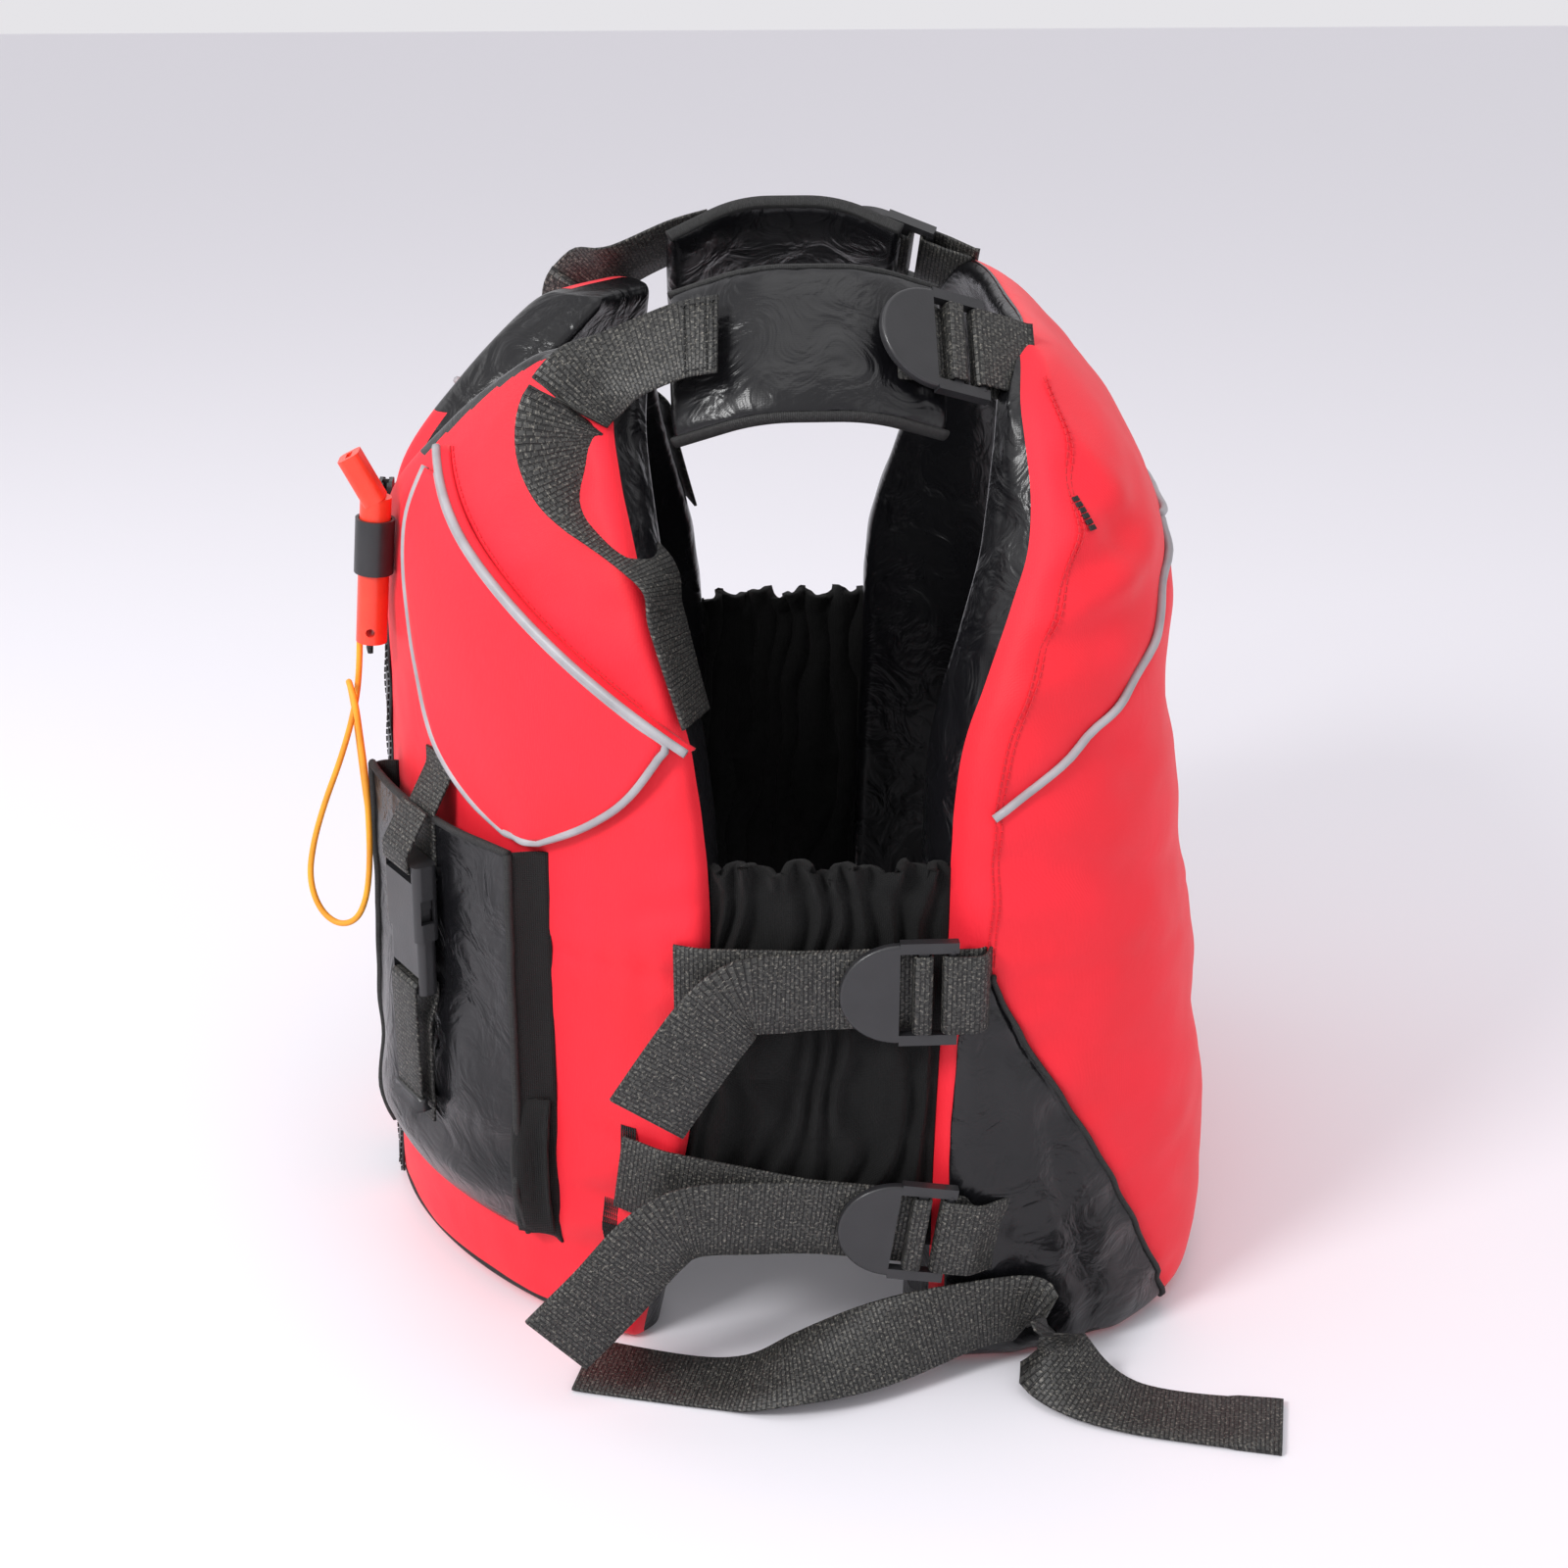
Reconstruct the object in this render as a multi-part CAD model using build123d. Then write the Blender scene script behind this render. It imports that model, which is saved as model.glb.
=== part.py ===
from build123d import *
import math
import os

# Life jacket (buoyancy vest), standing on its hem.  Millimetres.
# +Z is up, -Y is the wearer's front, +X is the wearer's left.
# The origin is on the surface it stands on, below the middle of its box.

# ---- driving dimensions: the form of the padded body -------------------------------------
form_heights = [0, 45, 160, 300, 375, 420, 455, 480]
half_widths = [196, 198, 198, 197, 187, 168, 146, 130]
front_depths = [202, 200, 195, 190, 186, 160, 136, 116]
back_depths = [206, 210, 198, 176, 172, 152, 122, 98]
front_squareness = 1.7
back_squareness = 3.6
body_shift = -3.0              # of the panels from the middle of the side straps
origin_shift = -4.9             # puts the middle of the whole jacket over the origin

# ---- panels: layers from the outside in --------------------------------------------------
cover_thickness = 1.2
layer_gap = 0.6
seam_gap = 0.15                # degrees between two covers and their seam
front_thickness = 40.0
back_thickness = 48.0
front_top = 452.0
back_top = 462.0
zip_top = 372.0
zip_opening = 15.0             # between the two front panels

# edges of the panels, as angles from straight ahead at chosen heights
edge_heights = [0, 110, 215, 300, 350, 395, 430, 470]
front_armhole_angles = [66, 74, 78, 76, 71, 65, 58, 51]
back_armhole_angles = [108, 108, 109, 110, 115, 121, 125, 131]
gusset_rear_angles = [140, 126, 112, 112, 116, 122, 126, 132]
gusset_top = 205.0
neck_heights = [330, 356, 378, 402, 428, 452]
neck_angles = [2.4, 3.2, 5.5, 11, 19, 31]
back_top_thickness = 18.0
taper_start = 390.0

# ---- webbing and hardware ----------------------------------------------------------------
webbing_width = 38.0
webbing_thickness = 1.6
narrow_webbing = 25.0
fit_gap = 0.4                  # webbing to plastic and plastic to plastic
lock_wall = 5.0                # beside and between the slots
lock_slot = 8.0
lock_thickness = 4.6
lock_tab = 26.0
rear_bar_radius = 2.5

# ---- side elastic and side straps --------------------------------------------------------
elastic_low = 62.0
elastic_high = 250.0
elastic_thickness = 7.0
elastic_inset = 12.0
upper_strap_height = 202.0
lower_strap_height = 78.0
side_lock_rear = 62.0          # Y of the lock's rear bar
lower_strap_tilt = -8.0

# ---- shoulders ---------------------------------------------------------------------------
shoulder_apex = (113.0, 4.0, 466.0)
shoulder_slope = 45.0
pad_width = 72.0
pad_thickness = 13.0
pad_front = -54.0
pad_rear = 56.0

# ---- zip ---------------------------------------------------------------------------------
zip_foot = 11.0
zip_proud = 0.4
tooth_pitch = 6.0
tooth_width = 3.0
tooth_depth = 2.6
tooth_clear = 0.7              # from the tips to the middle, where the slider's divider runs
tooth_root = 0.5               # of each tooth inside its back
divider_gap = 0.3
tape_thickness = 1.0
slider_length = 13.0
slider_width = 13.0
pull_length = 48.0

# ---- chest flap, pocket and its clip -----------------------------------------------------
flap_thickness = 2.4
flap_lift = 3.6
flap_seam_top = (22.0, 408.0)     # angle and height of the diagonal seam's ends
flap_seam_low = (75.0, 312.0)
pocket_start = 12.0
pocket_end = 54.0
pocket_low = 48.0
pocket_high = 248.0
pocket_depth = 10.0
pocket_wall = 1.6
clip_angle = 31.0
clip_top = 228.0
clip_length = 66.0
clip_width = 34.0
clip_thickness = 12.0
clip_insert = 24.0

# ---- whistle and lanyard -----------------------------------------------------------------
whistle_x = 44.0
whistle_low = 312.0
whistle_high = 382.0
whistle_radius = 7.2
whistle_bore = 4.6
cord_diameter = 3.0
cord_route = [
    (47, -201.8, 312), (47, -203, 296), (46, -207, 276), (45, -215, 252),
    (45, -225, 228), (45, -232, 207), (47, -235, 189), (50, -231, 174),
    (54, -222, 167), (58, -212, 171), (60, -206, 184), (61, -203, 203),
    (61, -202, 224), (60, -202, 247), (61.5, -203, 270), (61.6, -204, 286.3),
    (55.5, -206.5, 292.3), (47, -208.5, 292.3), (40.9, -208.5, 286.3), (41, -207, 270),
    (42, -206, 250), (42, -205, 230), (40, -204, 210), (36, -203, 193), (31, -200, 178),
    (27, -197, 167),
]


def smooth(heights, values, z):
    # a smooth curve through the values that are given at the heights
    count = len(heights)
    if z <= heights[0]:
        return values[0]
    if z >= heights[-1]:
        return values[-1]
    k = max(i for i in range(count - 1) if heights[i] <= z)
    span = heights[k + 1] - heights[k]
    slopes = []
    for i in (k, k + 1):
        low = max(i - 1, 0)
        high = min(i + 1, count - 1)
        slopes.append((values[high] - values[low]) / (heights[high] - heights[low]) * span)
    t = (z - heights[k]) / span
    start = values[k] * (2 * t**3 - 3 * t**2 + 1) + slopes[0] * (t**3 - 2 * t**2 + t)
    end = values[k + 1] * (3 * t**2 - 2 * t**3) + slopes[1] * (t**3 - t**2)
    return start + end


def form_radius(z, angle):
    # distance of the outer face from the vertical middle line
    side = abs(math.sin(math.radians(angle)))
    ahead = math.cos(math.radians(angle))
    depth = smooth(form_heights, front_depths if ahead >= 0 else back_depths, z)
    power = front_squareness if ahead >= 0 else back_squareness
    wide = smooth(form_heights, half_widths, z)
    return ((side / wide) ** power + (abs(ahead) / depth) ** power) ** (-1 / power)


def form_point(z, angle, out=0.0):
    # a point on the outer face, or the given distance outside it
    radius = form_radius(z, angle) + out
    turn = math.radians(angle)
    return Vector(radius * math.sin(turn), -radius * math.cos(turn) + body_shift, z)


def form_angle(x, z, out=0.0):
    # the angle at which the front face lies at this X
    low, high = 0.0, 89.0
    for _ in range(40):
        middle = (low + high) / 2
        if form_point(z, middle, out).X < x:
            low = middle
        else:
            high = middle
    return low


def levels(low, high, step=38.0):
    count = max(2, round((high - low) / step))
    return [low + (high - low) * i / count for i in range(count + 1)]


def layer(inner, outer, start, end, heights, points=9):
    # a curved slab between two distances from the outer face and two edges
    sections = []
    shares = [i / (points - 1) for i in range(points)]
    for z in heights:
        angles = [start(z) + (end(z) - start(z)) * share for share in shares]
        outside = [form_point(z, a, outer(z) if callable(outer) else outer) for a in angles]
        inside = [form_point(z, a, inner(z) if callable(inner) else inner) for a in reversed(angles)]
        edges = [
            Edge.make_spline(outside, parameters=shares),
            Edge.make_line(outside[-1], inside[0]),
            Edge.make_spline(inside, parameters=shares),
            Edge.make_line(inside[-1], outside[0]),
        ]
        sections.append(make_face(Wire(edges)))
    return loft(sections)


def ribbon(stations, width, thickness):
    # webbing through stations of (middle, direction across)
    sections = []
    last = len(stations) - 1
    for i, (middle, across) in enumerate(stations):
        before = Vector(*stations[max(i - 1, 0)][0])
        after = Vector(*stations[min(i + 1, last)][0])
        frame = Plane(origin=Vector(*middle), x_dir=Vector(*across), z_dir=after - before)
        across_true = Vector(*across) - frame.z_dir * Vector(*across).dot(frame.z_dir)
        frame = Plane(origin=Vector(*middle), x_dir=across_true, z_dir=after - before)
        sections.append(frame * Rectangle(width, thickness))
    return loft(sections, ruled=True)


def flat_strap(points, radii, width, thickness):
    # webbing folded in one plane: the points are (along, out), the width is along Z
    path = FilletPolyline(*[(u, w) for u, w in points], radius=radii)
    start = path @ 0
    frame = Plane(origin=start, x_dir=Vector(0, 0, 1), z_dir=path % 0)
    return sweep(frame * Rectangle(width, thickness), path=path)


def front_edge(z):
    # the edge beside the zip, and above it the neck edge
    beside_zip = form_angle(zip_opening / 2, z)
    return max(beside_zip, smooth(neck_heights, neck_angles, z))


def front_armhole(z):
    return smooth(edge_heights, front_armhole_angles, z)


def back_armhole(z):
    return smooth(edge_heights, back_armhole_angles, z)


def gusset_rear(z):
    return smooth(edge_heights, gusset_rear_angles, z)


def zip_line(z):
    # Y of the zip's middle at this height: the zip is straight and leans back
    foot = form_point(zip_foot, 0).Y - zip_proud
    top = form_point(zip_top, 0).Y - zip_proud
    return foot + (top - foot) * (z - zip_foot) / (zip_top - zip_foot)


parts = {}


def keep(name, shape):
    shape = Pos(0, origin_shift, 0) * shape
    shape.label = name
    parts[name] = shape


def keep_pair(name, shape):
    keep(name + "_left", shape)
    keep(name + "_right", mirror(shape, about=Plane.YZ))


# ---- padded panels -----------------------------------------------------------------------
foam_outer = -(cover_thickness + layer_gap)
front_levels = levels(0, zip_top)[:-1] + levels(zip_top, front_top, 19.0)
front_foam_inner = -(front_thickness - cover_thickness - layer_gap)
keep_pair("front_shell", layer(-cover_thickness, 0, front_edge, front_armhole, front_levels))
keep_pair("front_foam", layer(front_foam_inner, foam_outer, front_edge, front_armhole, front_levels))
keep_pair("front_lining", layer(-front_thickness, front_foam_inner - layer_gap,
                                front_edge, front_armhole, front_levels))

back_levels = levels(0, back_top)


def back_depth(z):
    # the back panel thins towards its top edge
    share = max(0.0, (z - taper_start) / (back_top - taper_start))
    return back_thickness - (back_thickness - back_top_thickness) * share**1.5


def back_foam_inner(z):
    return -(back_depth(z) - cover_thickness - layer_gap)


def back_right(z):
    return 360 - back_armhole(z)


keep("back_foam", layer(back_foam_inner, foam_outer, back_armhole, back_right, back_levels, 13))
keep("back_lining", layer(lambda z: -back_depth(z), lambda z: back_foam_inner(z) - layer_gap,
                          back_armhole, back_right, back_levels, 13))


def shell_edge(z):
    # the red cover starts at the armhole, and below that behind the black gusset
    gusset = gusset_rear(z) if z < gusset_top else 0
    return max(back_armhole(z), gusset) + seam_gap


def gusset_edge(z):
    return gusset_rear(z) - seam_gap


gusset_levels = [z for z in back_levels if z < gusset_top]
keep("back_shell", layer(-cover_thickness, 0, shell_edge, lambda z: 360 - shell_edge(z), back_levels, 13))
keep_pair("lower_side_gusset", layer(-cover_thickness, 0, back_armhole, gusset_edge, gusset_levels, 9))


# ---- side elastic ------------------------------------------------------------------------
elastic_gap = 0.25             # degrees between the elastic and each panel
keep_pair("side_elastic", layer(-elastic_inset - elastic_thickness, -elastic_inset,
                                lambda z: front_armhole(z) + elastic_gap,
                                lambda z: back_armhole(z) - elastic_gap,
                                levels(elastic_low, elastic_high), 5))


# ---- ladder locks: along X from the rear bar, webbing across on Z, face towards +Y --------
bar_gap = fit_gap + webbing_thickness / 2
slot_front = rear_bar_radius + lock_slot
middle_bar = 4.4
second_slot_front = slot_front + middle_bar + lock_slot
lock_length = second_slot_front + lock_tab
slot_width = webbing_width + 1.6
lock_width = slot_width + 2 * lock_wall
wrap_radius = rear_bar_radius + bar_gap
under_tab = -(lock_thickness / 2 + bar_gap)
load_run = under_tab - webbing_thickness - fit_gap


def ladder_lock():
    frame = Rectangle(second_slot_front + rear_bar_radius, lock_width)
    frame = Pos((second_slot_front - rear_bar_radius) / 2, 0) * frame
    tab = Pos(second_slot_front, 0) * Ellipse(lock_tab, lock_width / 2 - 1)
    tab -= Pos(second_slot_front - lock_tab, 0) * Rectangle(2 * lock_tab, 2 * lock_width)
    tab += Pos(second_slot_front, 0) * Rectangle(2, lock_width - 4)
    face = frame + tab
    face -= Pos(rear_bar_radius + lock_slot / 2, 0) * Rectangle(lock_slot, slot_width)
    face -= Pos(slot_front + middle_bar + lock_slot / 2, 0) * Rectangle(lock_slot, slot_width)
    face -= Pos(0, 0) * Rectangle(2 * rear_bar_radius + 0.2, slot_width)
    body = extrude(face, lock_thickness / 2, both=True)
    body += Rot(90, 0, 0) * Cylinder(rear_bar_radius, slot_width + 2)
    body = fillet(body.edges().filter_by(GeomType.ELLIPSE), 1.4)
    return Rot(90, 0, 0) * body


def anchor_loop(inner_end, outer_end):
    # both layers of webbing from the far end, round the rear bar
    points = [(wrap_radius, -wrap_radius), (wrap_radius, wrap_radius)]
    turns = [wrap_radius - 0.1] * 2
    if inner_end[0] < -14:
        points = [(-14, -wrap_radius)] + points + [(-14, wrap_radius)]
        turns = [8] + turns + [8]
    return flat_strap([inner_end] + points + [outer_end], turns, webbing_width, webbing_thickness)


def threaded_strap(far_points, far_radii, tail_end):
    # from the far end under the lock, round the middle bar and out under the tab
    rear = slot_front - bar_gap
    front = slot_front + middle_bar + bar_gap
    top = lock_thickness / 2 + bar_gap
    bend = webbing_thickness * 0.8
    points = list(far_points)
    points += [(rear, load_run), (rear, top), (front, top), (front, under_tab), (tail_end, under_tab)]
    return flat_strap(points, list(far_radii) + [bend] * 4, webbing_width, webbing_thickness)


def place_side(shape, z, tilt):
    out = form_point(z, 90).X + wrap_radius + webbing_thickness / 2 + fit_gap
    frame = Plane(origin=(out, side_lock_rear, z), x_dir=(0, -1, 0), z_dir=(0, 0, 1))
    return frame.location * Rot(0, tilt, 0) * shape


def side_point(z, tilt, angle, out):
    # (forward, outward) from the side lock's rear bar of a point over the form
    base = form_point(z, 90).X + wrap_radius + webbing_thickness / 2 + fit_gap
    along = side_lock_rear - form_point(z, angle, out).Y
    spot = form_point(z - along * math.sin(math.radians(tilt)), angle, out)
    return ((side_lock_rear - spot.Y) / math.cos(math.radians(tilt)), spot.X - base)


on_face = webbing_thickness / 2 + 1.2
tail_start = lock_length + 6
for level, z, tilt in (("upper", upper_strap_height, 0), ("lower", lower_strap_height, lower_strap_tilt)):
    keep_pair(f"{level}_side_lock", place_side(ladder_lock(), z, tilt))
    inner_end = side_point(z, tilt, 119, on_face)
    outer_end = side_point(z, tilt, 119, on_face + webbing_thickness + fit_gap)
    keep_pair(f"{level}_side_anchor", place_side(anchor_loop(inner_end, outer_end), z, tilt))
    edge = front_armhole(z)
    sewn = [side_point(z, tilt, edge - 14, on_face + 0.9), side_point(z, tilt, edge - 1, on_face + 1.6)]
    sewn += [(lock_length + 16, load_run)]
    run = place_side(threaded_strap(sewn, [30, 30], tail_start), z, tilt)
    base = place_side(Pos(tail_start, under_tab, 0) * Box(1, 1, 1), z, tilt).center()
    if level == "upper":
        tail = [
            (base, (0, 0, 1)),
            (base + Vector(3, -18, 1), (0, 0, 1)),
            (base + Vector(12, -42, -4), (0, -0.35, 0.94)),
            (base + Vector(19, -62, -22), (0, -0.66, 0.75)),
            (base + Vector(21, -86, -58), (0, -0.86, 0.5)),
        ]
    else:
        tail = [
            (base, (0, 0, 1)),
            (base + Vector(3, -22, 1), (0, 0, 1)),
            (base + Vector(9, -52, -3), (0, -0.3, 0.95)),
            (base + Vector(14, -76, -24), (0, -0.7, 0.71)),
            (base + Vector(18, -106, -58), (0, -0.86, 0.5)),
        ]
    keep_pair(f"{level}_side_strap", run + ribbon(tail, webbing_width, webbing_thickness))

# ---- bottom straps: over the floor beside the hem ----------------------------------------
floor_clear = webbing_thickness / 2 + 0.4
bottom_strap = [
    ((188, -104, floor_clear), (-0.6, 0.8, 0)),
    ((205, -40, floor_clear), (-0.98, 0.2, 0)),
    ((214, 0, 16), (-0.8, 0.1, 0.4)),
    (form_point(33, 112, on_face + 3.4), (0, 0, 1)),
    (form_point(30, 119, on_face + 4.4), (0, -0.3, 0.95)),
    ((214, 112, 16), (-0.6, 0, 0.8)),
    ((232, 146, floor_clear), (-0.97, 0.24, 0)),
    ((250, 212, floor_clear), (-0.98, 0.2, 0)),
]
keep_pair("bottom_strap", ribbon(bottom_strap, webbing_width, webbing_thickness))

# ---- shoulders: along X forwards from the apex, outwards on +Y ----------------------------
slope = math.radians(shoulder_slope)
shoulder_frame = Plane(origin=shoulder_apex, x_dir=(0, -1, 0), z_dir=(-math.sin(slope), 0, math.cos(slope)))


def place_shoulder(shape):
    return shoulder_frame.location * shape


pad_line = [(-pad_rear, -17), (-26, -1), (22, -1), (-pad_front, -19)]
keep_pair("shoulder_pad", place_shoulder(flat_strap(pad_line, [60, 60], pad_width, pad_thickness)))
lock_turn = 26.0
lock_rear_u = -74.0
lock_rear_w = -10.0
lock_rear_at = Pos(lock_rear_u, lock_rear_w) * Rot(0, 0, lock_turn)
keep_pair("shoulder_lock", place_shoulder(lock_rear_at * ladder_lock()))
shoulder_anchor = anchor_loop((-3.9, -wrap_radius), (-4.8, wrap_radius))
keep_pair("shoulder_anchor", place_shoulder(lock_rear_at * shoulder_anchor))


def lock_spot(u, w):
    # a place on the shoulder seen from the shoulder lock
    turn = math.radians(lock_turn)
    du = u - lock_rear_u
    dw = w - lock_rear_w
    return (du * math.cos(turn) + dw * math.sin(turn), dw * math.cos(turn) - du * math.sin(turn))


pad_top = -1 + pad_thickness / 2 + on_face
sewn_end = lock_spot(12, pad_top)
bend_near = lock_spot(-12, pad_top)
strap_bend = (bend_near[0] + (load_run - bend_near[1]) / math.tan(math.radians(-lock_turn)), load_run)
shoulder_strap = threaded_strap([sewn_end, strap_bend], [60], lock_length + 10)
keep_pair("shoulder_strap", place_shoulder(lock_rear_at * shoulder_strap))


def armhole_station(z):
    # beside the edge face of the front panel, with more room where that face leans back
    angle = front_armhole(z)
    turn = math.radians(angle)
    across = (math.sin(turn), -math.cos(turn), 0)
    aside = on_face + (1.6 if z > taper_start else -0.4)
    aside_angle = math.degrees(aside / (form_radius(z, angle) - front_thickness / 2))
    return (form_point(z, angle + aside_angle, -front_thickness / 2), across)


front_webbing = [armhole_station(z) for z in (438, 427, 416, 402, 386, 368, 350, 332, 314)]
keep_pair("shoulder_front_webbing", ribbon(front_webbing, webbing_width, webbing_thickness))

# ---- zip ---------------------------------------------------------------------------------
zip_lean = math.degrees(math.atan2(zip_line(zip_top) - zip_line(zip_foot), zip_top - zip_foot))
zip_length = zip_top - zip_foot
zip_place = Pos(0, zip_line(zip_foot), zip_foot) * Rot(-zip_lean, 0, 0)
tooth_back = 1.8
tape_width = zip_opening / 2 - tooth_width - tooth_back - 0.9


def tooth_row(side):
    # a comb along +Z with its teeth towards the other side
    row = Pos(side * (tooth_width + tooth_back / 2), 0, zip_length / 2) * Box(tooth_back, tooth_depth, zip_length)
    count = int(zip_length / tooth_pitch)
    for i in range(count):
        z = (i + (0.25 if side > 0 else 0.75)) * tooth_pitch
        reach = tooth_width + tooth_root - tooth_clear
        tooth = Pos(side * (tooth_clear + reach / 2), 0, z) * Box(reach, tooth_depth, tooth_pitch / 2 - 0.5)
        row += tooth
    return row


for name, side in (("left", 1), ("right", -1)):
    keep(f"zip_teeth_{name}", zip_place * tooth_row(side))
    middle = side * (tooth_width + tooth_back + 0.3 + tape_width / 2)
    tape = Pos(middle, 0, zip_length / 2) * Box(tape_width, tape_thickness, zip_length)
    keep(f"zip_tape_{name}", zip_place * tape)
slider_gap = 0.35
slider_plate = 1.6
slider_high = tooth_depth + 2 * slider_gap + 2 * slider_plate
slider_over = 5.0              # how far it stands above the last tooth
slider = Box(slider_width, slider_high, slider_length)
slider = fillet(slider.edges().filter_by(Axis.Y), 3.0)
channel = 2 * (tooth_width + tooth_back + slider_gap)
slider -= Box(channel, tooth_depth + 2 * slider_gap, 2 * slider_length)
slider -= Box(2 * slider_width, tape_thickness + 2 * slider_gap, 2 * slider_length)
post_height = slider_over - slider_gap
divider_width = 2 * (tooth_clear - divider_gap)
slider += Pos(0, 0, (slider_length - post_height) / 2) * Box(divider_width, slider_high, post_height)
slider_at = zip_place * Pos(0, 0, zip_length - slider_length / 2 + slider_over)
loop = Pos(0, -slider_high / 2 - 1.6, 0) * Box(3.0, 4.0, 9.0)
loop -= Pos(0, -slider_high / 2 - 1.2, 0) * Box(4.0, 2.4, 6.0)
slider += loop
keep("zip_slider", slider_at * slider)
pull_axis_out = -slider_high / 2 - 1.3
pull = Rot(0, 90, 0) * Cylinder(0.7, 7.0)
pull += Pos(2.9, -0.2, -4) * Box(1.2, 1.4, 9.0)
pull += Pos(-2.9, -0.2, -4) * Box(1.2, 1.4, 9.0)
pull += Pos(0, -0.9, -8.0 - (pull_length - 8) / 2) * Box(7.0, 2.2, pull_length - 8)
keep("zip_pull", slider_at * Pos(0, pull_axis_out, 0) * pull)
retainer = Pos(0, 0, -4.6) * Box(10.0, 4.0, 8.0)
keep("zip_retainer", zip_place * retainer)


# ---- chest flap --------------------------------------------------------------------------
def seam_angle(z):
    share = (flap_seam_top[1] - z) / (flap_seam_top[1] - flap_seam_low[1])
    return flap_seam_top[0] + (flap_seam_low[0] - flap_seam_top[0]) * share


flap_low = 254.0
flap_edge_heights = [flap_low, 266, 284, 312]
flap_edge_angles = [53, 60, 67, 73]
flap_side_heights = [flap_low, 264, 282, 312, 340, 372, 400]
flap_side_angles = [47, 39, 31, 26, 24, 22, 21]
flap_top = 400.0


def flap_rear(z):
    edge = smooth(flap_edge_heights, flap_edge_angles, z)
    return min(edge, seam_angle(z) - 1.0)


keep_pair("chest_flap", layer(flap_lift, flap_lift + flap_thickness,
                              lambda z: smooth(flap_side_heights, flap_side_angles, z),
                              flap_rear, levels(flap_low, flap_top, 12.0), 6))

# ---- cargo pocket: open at the top -------------------------------------------------------
pocket_out = pocket_depth + pocket_wall
pocket_levels = levels(pocket_low, pocket_high)
wall_angle = math.degrees(pocket_wall / 190)
pocket_outer = layer(0.4, pocket_out, lambda z: pocket_start, lambda z: pocket_end, pocket_levels, 7)
pocket_inner = layer(-5, pocket_depth, lambda z: pocket_start + wall_angle, lambda z: pocket_end - wall_angle,
                     levels(pocket_low + pocket_wall, pocket_high + 5), 7)
keep_pair("cargo_pocket", pocket_outer - pocket_inner)

# ---- pocket clip: side release buckle ----------------------------------------------------
clip_middle = clip_top - clip_length / 2
clip_out = pocket_out + clip_thickness / 2 + 2.6
clip_low_point = form_point(clip_top - clip_length, clip_angle, clip_out)
clip_high_point = form_point(clip_top, clip_angle, clip_out)
clip_turn = math.radians(clip_angle)
clip_frame = Plane(origin=clip_high_point, x_dir=(math.cos(clip_turn), math.sin(clip_turn), 0),
                   z_dir=clip_low_point - clip_high_point)
socket_length = 38.0
socket_wall = 2.0
clip_bar = 3.0
clip_slot = 6.0


def clip_place(shape):
    # local: X across, Y into or out of the chest, Z down the strap
    return clip_frame.location * shape


socket = Pos(0, 0, socket_length / 2) * Box(clip_width, clip_thickness, socket_length)
socket = fillet(socket.edges().filter_by(Axis.Z), 3.5)
cavity = Box(clip_width - 2 * socket_wall - 2, clip_thickness - 2 * socket_wall, clip_insert + 4)
socket -= Pos(0, 0, socket_length - (clip_insert + 4) / 2 + 0.01) * cavity
side_window = Pos(0, 0, socket_length - 15) * Box(2 * clip_width, clip_thickness - 2 * socket_wall - 1, 12)
socket -= side_window
socket -= Pos(0, 0, clip_bar + clip_slot / 2 - 0.5) * Box(narrow_webbing + 1.5, 2 * clip_thickness, clip_slot)
keep_pair("clip_socket", clip_place(socket))
plug_gap = 0.5
prong_thickness = clip_thickness - 2 * socket_wall - 2 * plug_gap
plug_base = clip_length - socket_length - plug_gap
plug = Pos(0, 0, plug_gap + plug_base / 2) * Box(clip_width - 2, clip_thickness - 3, plug_base)
plug = fillet(plug.edges().filter_by(Axis.Z), 3.0)
for side in (-1, 0, 1):
    reach = clip_insert - (0 if side else 4)
    prong = Pos(side * 10.5, 0, plug_gap - reach / 2 + 0.5) * Box(4.0, prong_thickness, reach)
    plug += prong
for side in (-1, 1):
    plug += Pos(side * 11.6, 0, plug_gap - clip_insert + 4.5) * Box(4.0, prong_thickness, 8.0)
plug -= Pos(0, 0, plug_gap + plug_base - clip_bar - clip_slot / 2) * Box(narrow_webbing + 1.5, 40, clip_slot)
keep_pair("clip_plug", clip_place(Pos(0, 0, socket_length) * plug))


def down_strap(points, radii):
    # webbing in the plane of (out, down) with its width across
    strap = flat_strap([(down, out) for out, down in points], radii, narrow_webbing, webbing_thickness)
    return Rot(0, -90, 0) * strap


# webbing above the clip: from the chest under the flap, round the socket's bar and back
clip_wrap = clip_thickness / 2 + bar_gap
loop_bend = 1.9
chest = -clip_out + webbing_thickness / 2 + 0.3
socket_bar = clip_bar - 0.5 + bar_gap
upper_loop = [(chest, -47), (chest, -39), (-clip_wrap, -22), (-clip_wrap, socket_bar)]
upper_loop += [(clip_wrap, socket_bar), (clip_wrap, -5), (-clip_wrap + 3.4, -20)]
keep_pair("clip_upper_webbing", clip_place(down_strap(upper_loop, [8, 8, loop_bend, loop_bend, 5])))
# webbing below the clip: sewn to the pocket, round the plug's bar, its tail hanging outside
plug_bar = clip_length - clip_bar - bar_gap
plug_wrap = (clip_thickness - 3) / 2 + bar_gap
pocket_face = -clip_out + pocket_out + webbing_thickness / 2 + 1.4
lower_loop = [(pocket_face, clip_length + 64), (pocket_face, clip_length + 14), (-plug_wrap, clip_length + 4)]
lower_loop += [(-plug_wrap, plug_bar), (plug_wrap, plug_bar), (plug_wrap, clip_length + 8)]
lower_loop += [(plug_wrap - 4, clip_length + 60)]
keep_pair("clip_lower_webbing", clip_place(down_strap(lower_loop, [10, 6, loop_bend, loop_bend, 20])))

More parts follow.
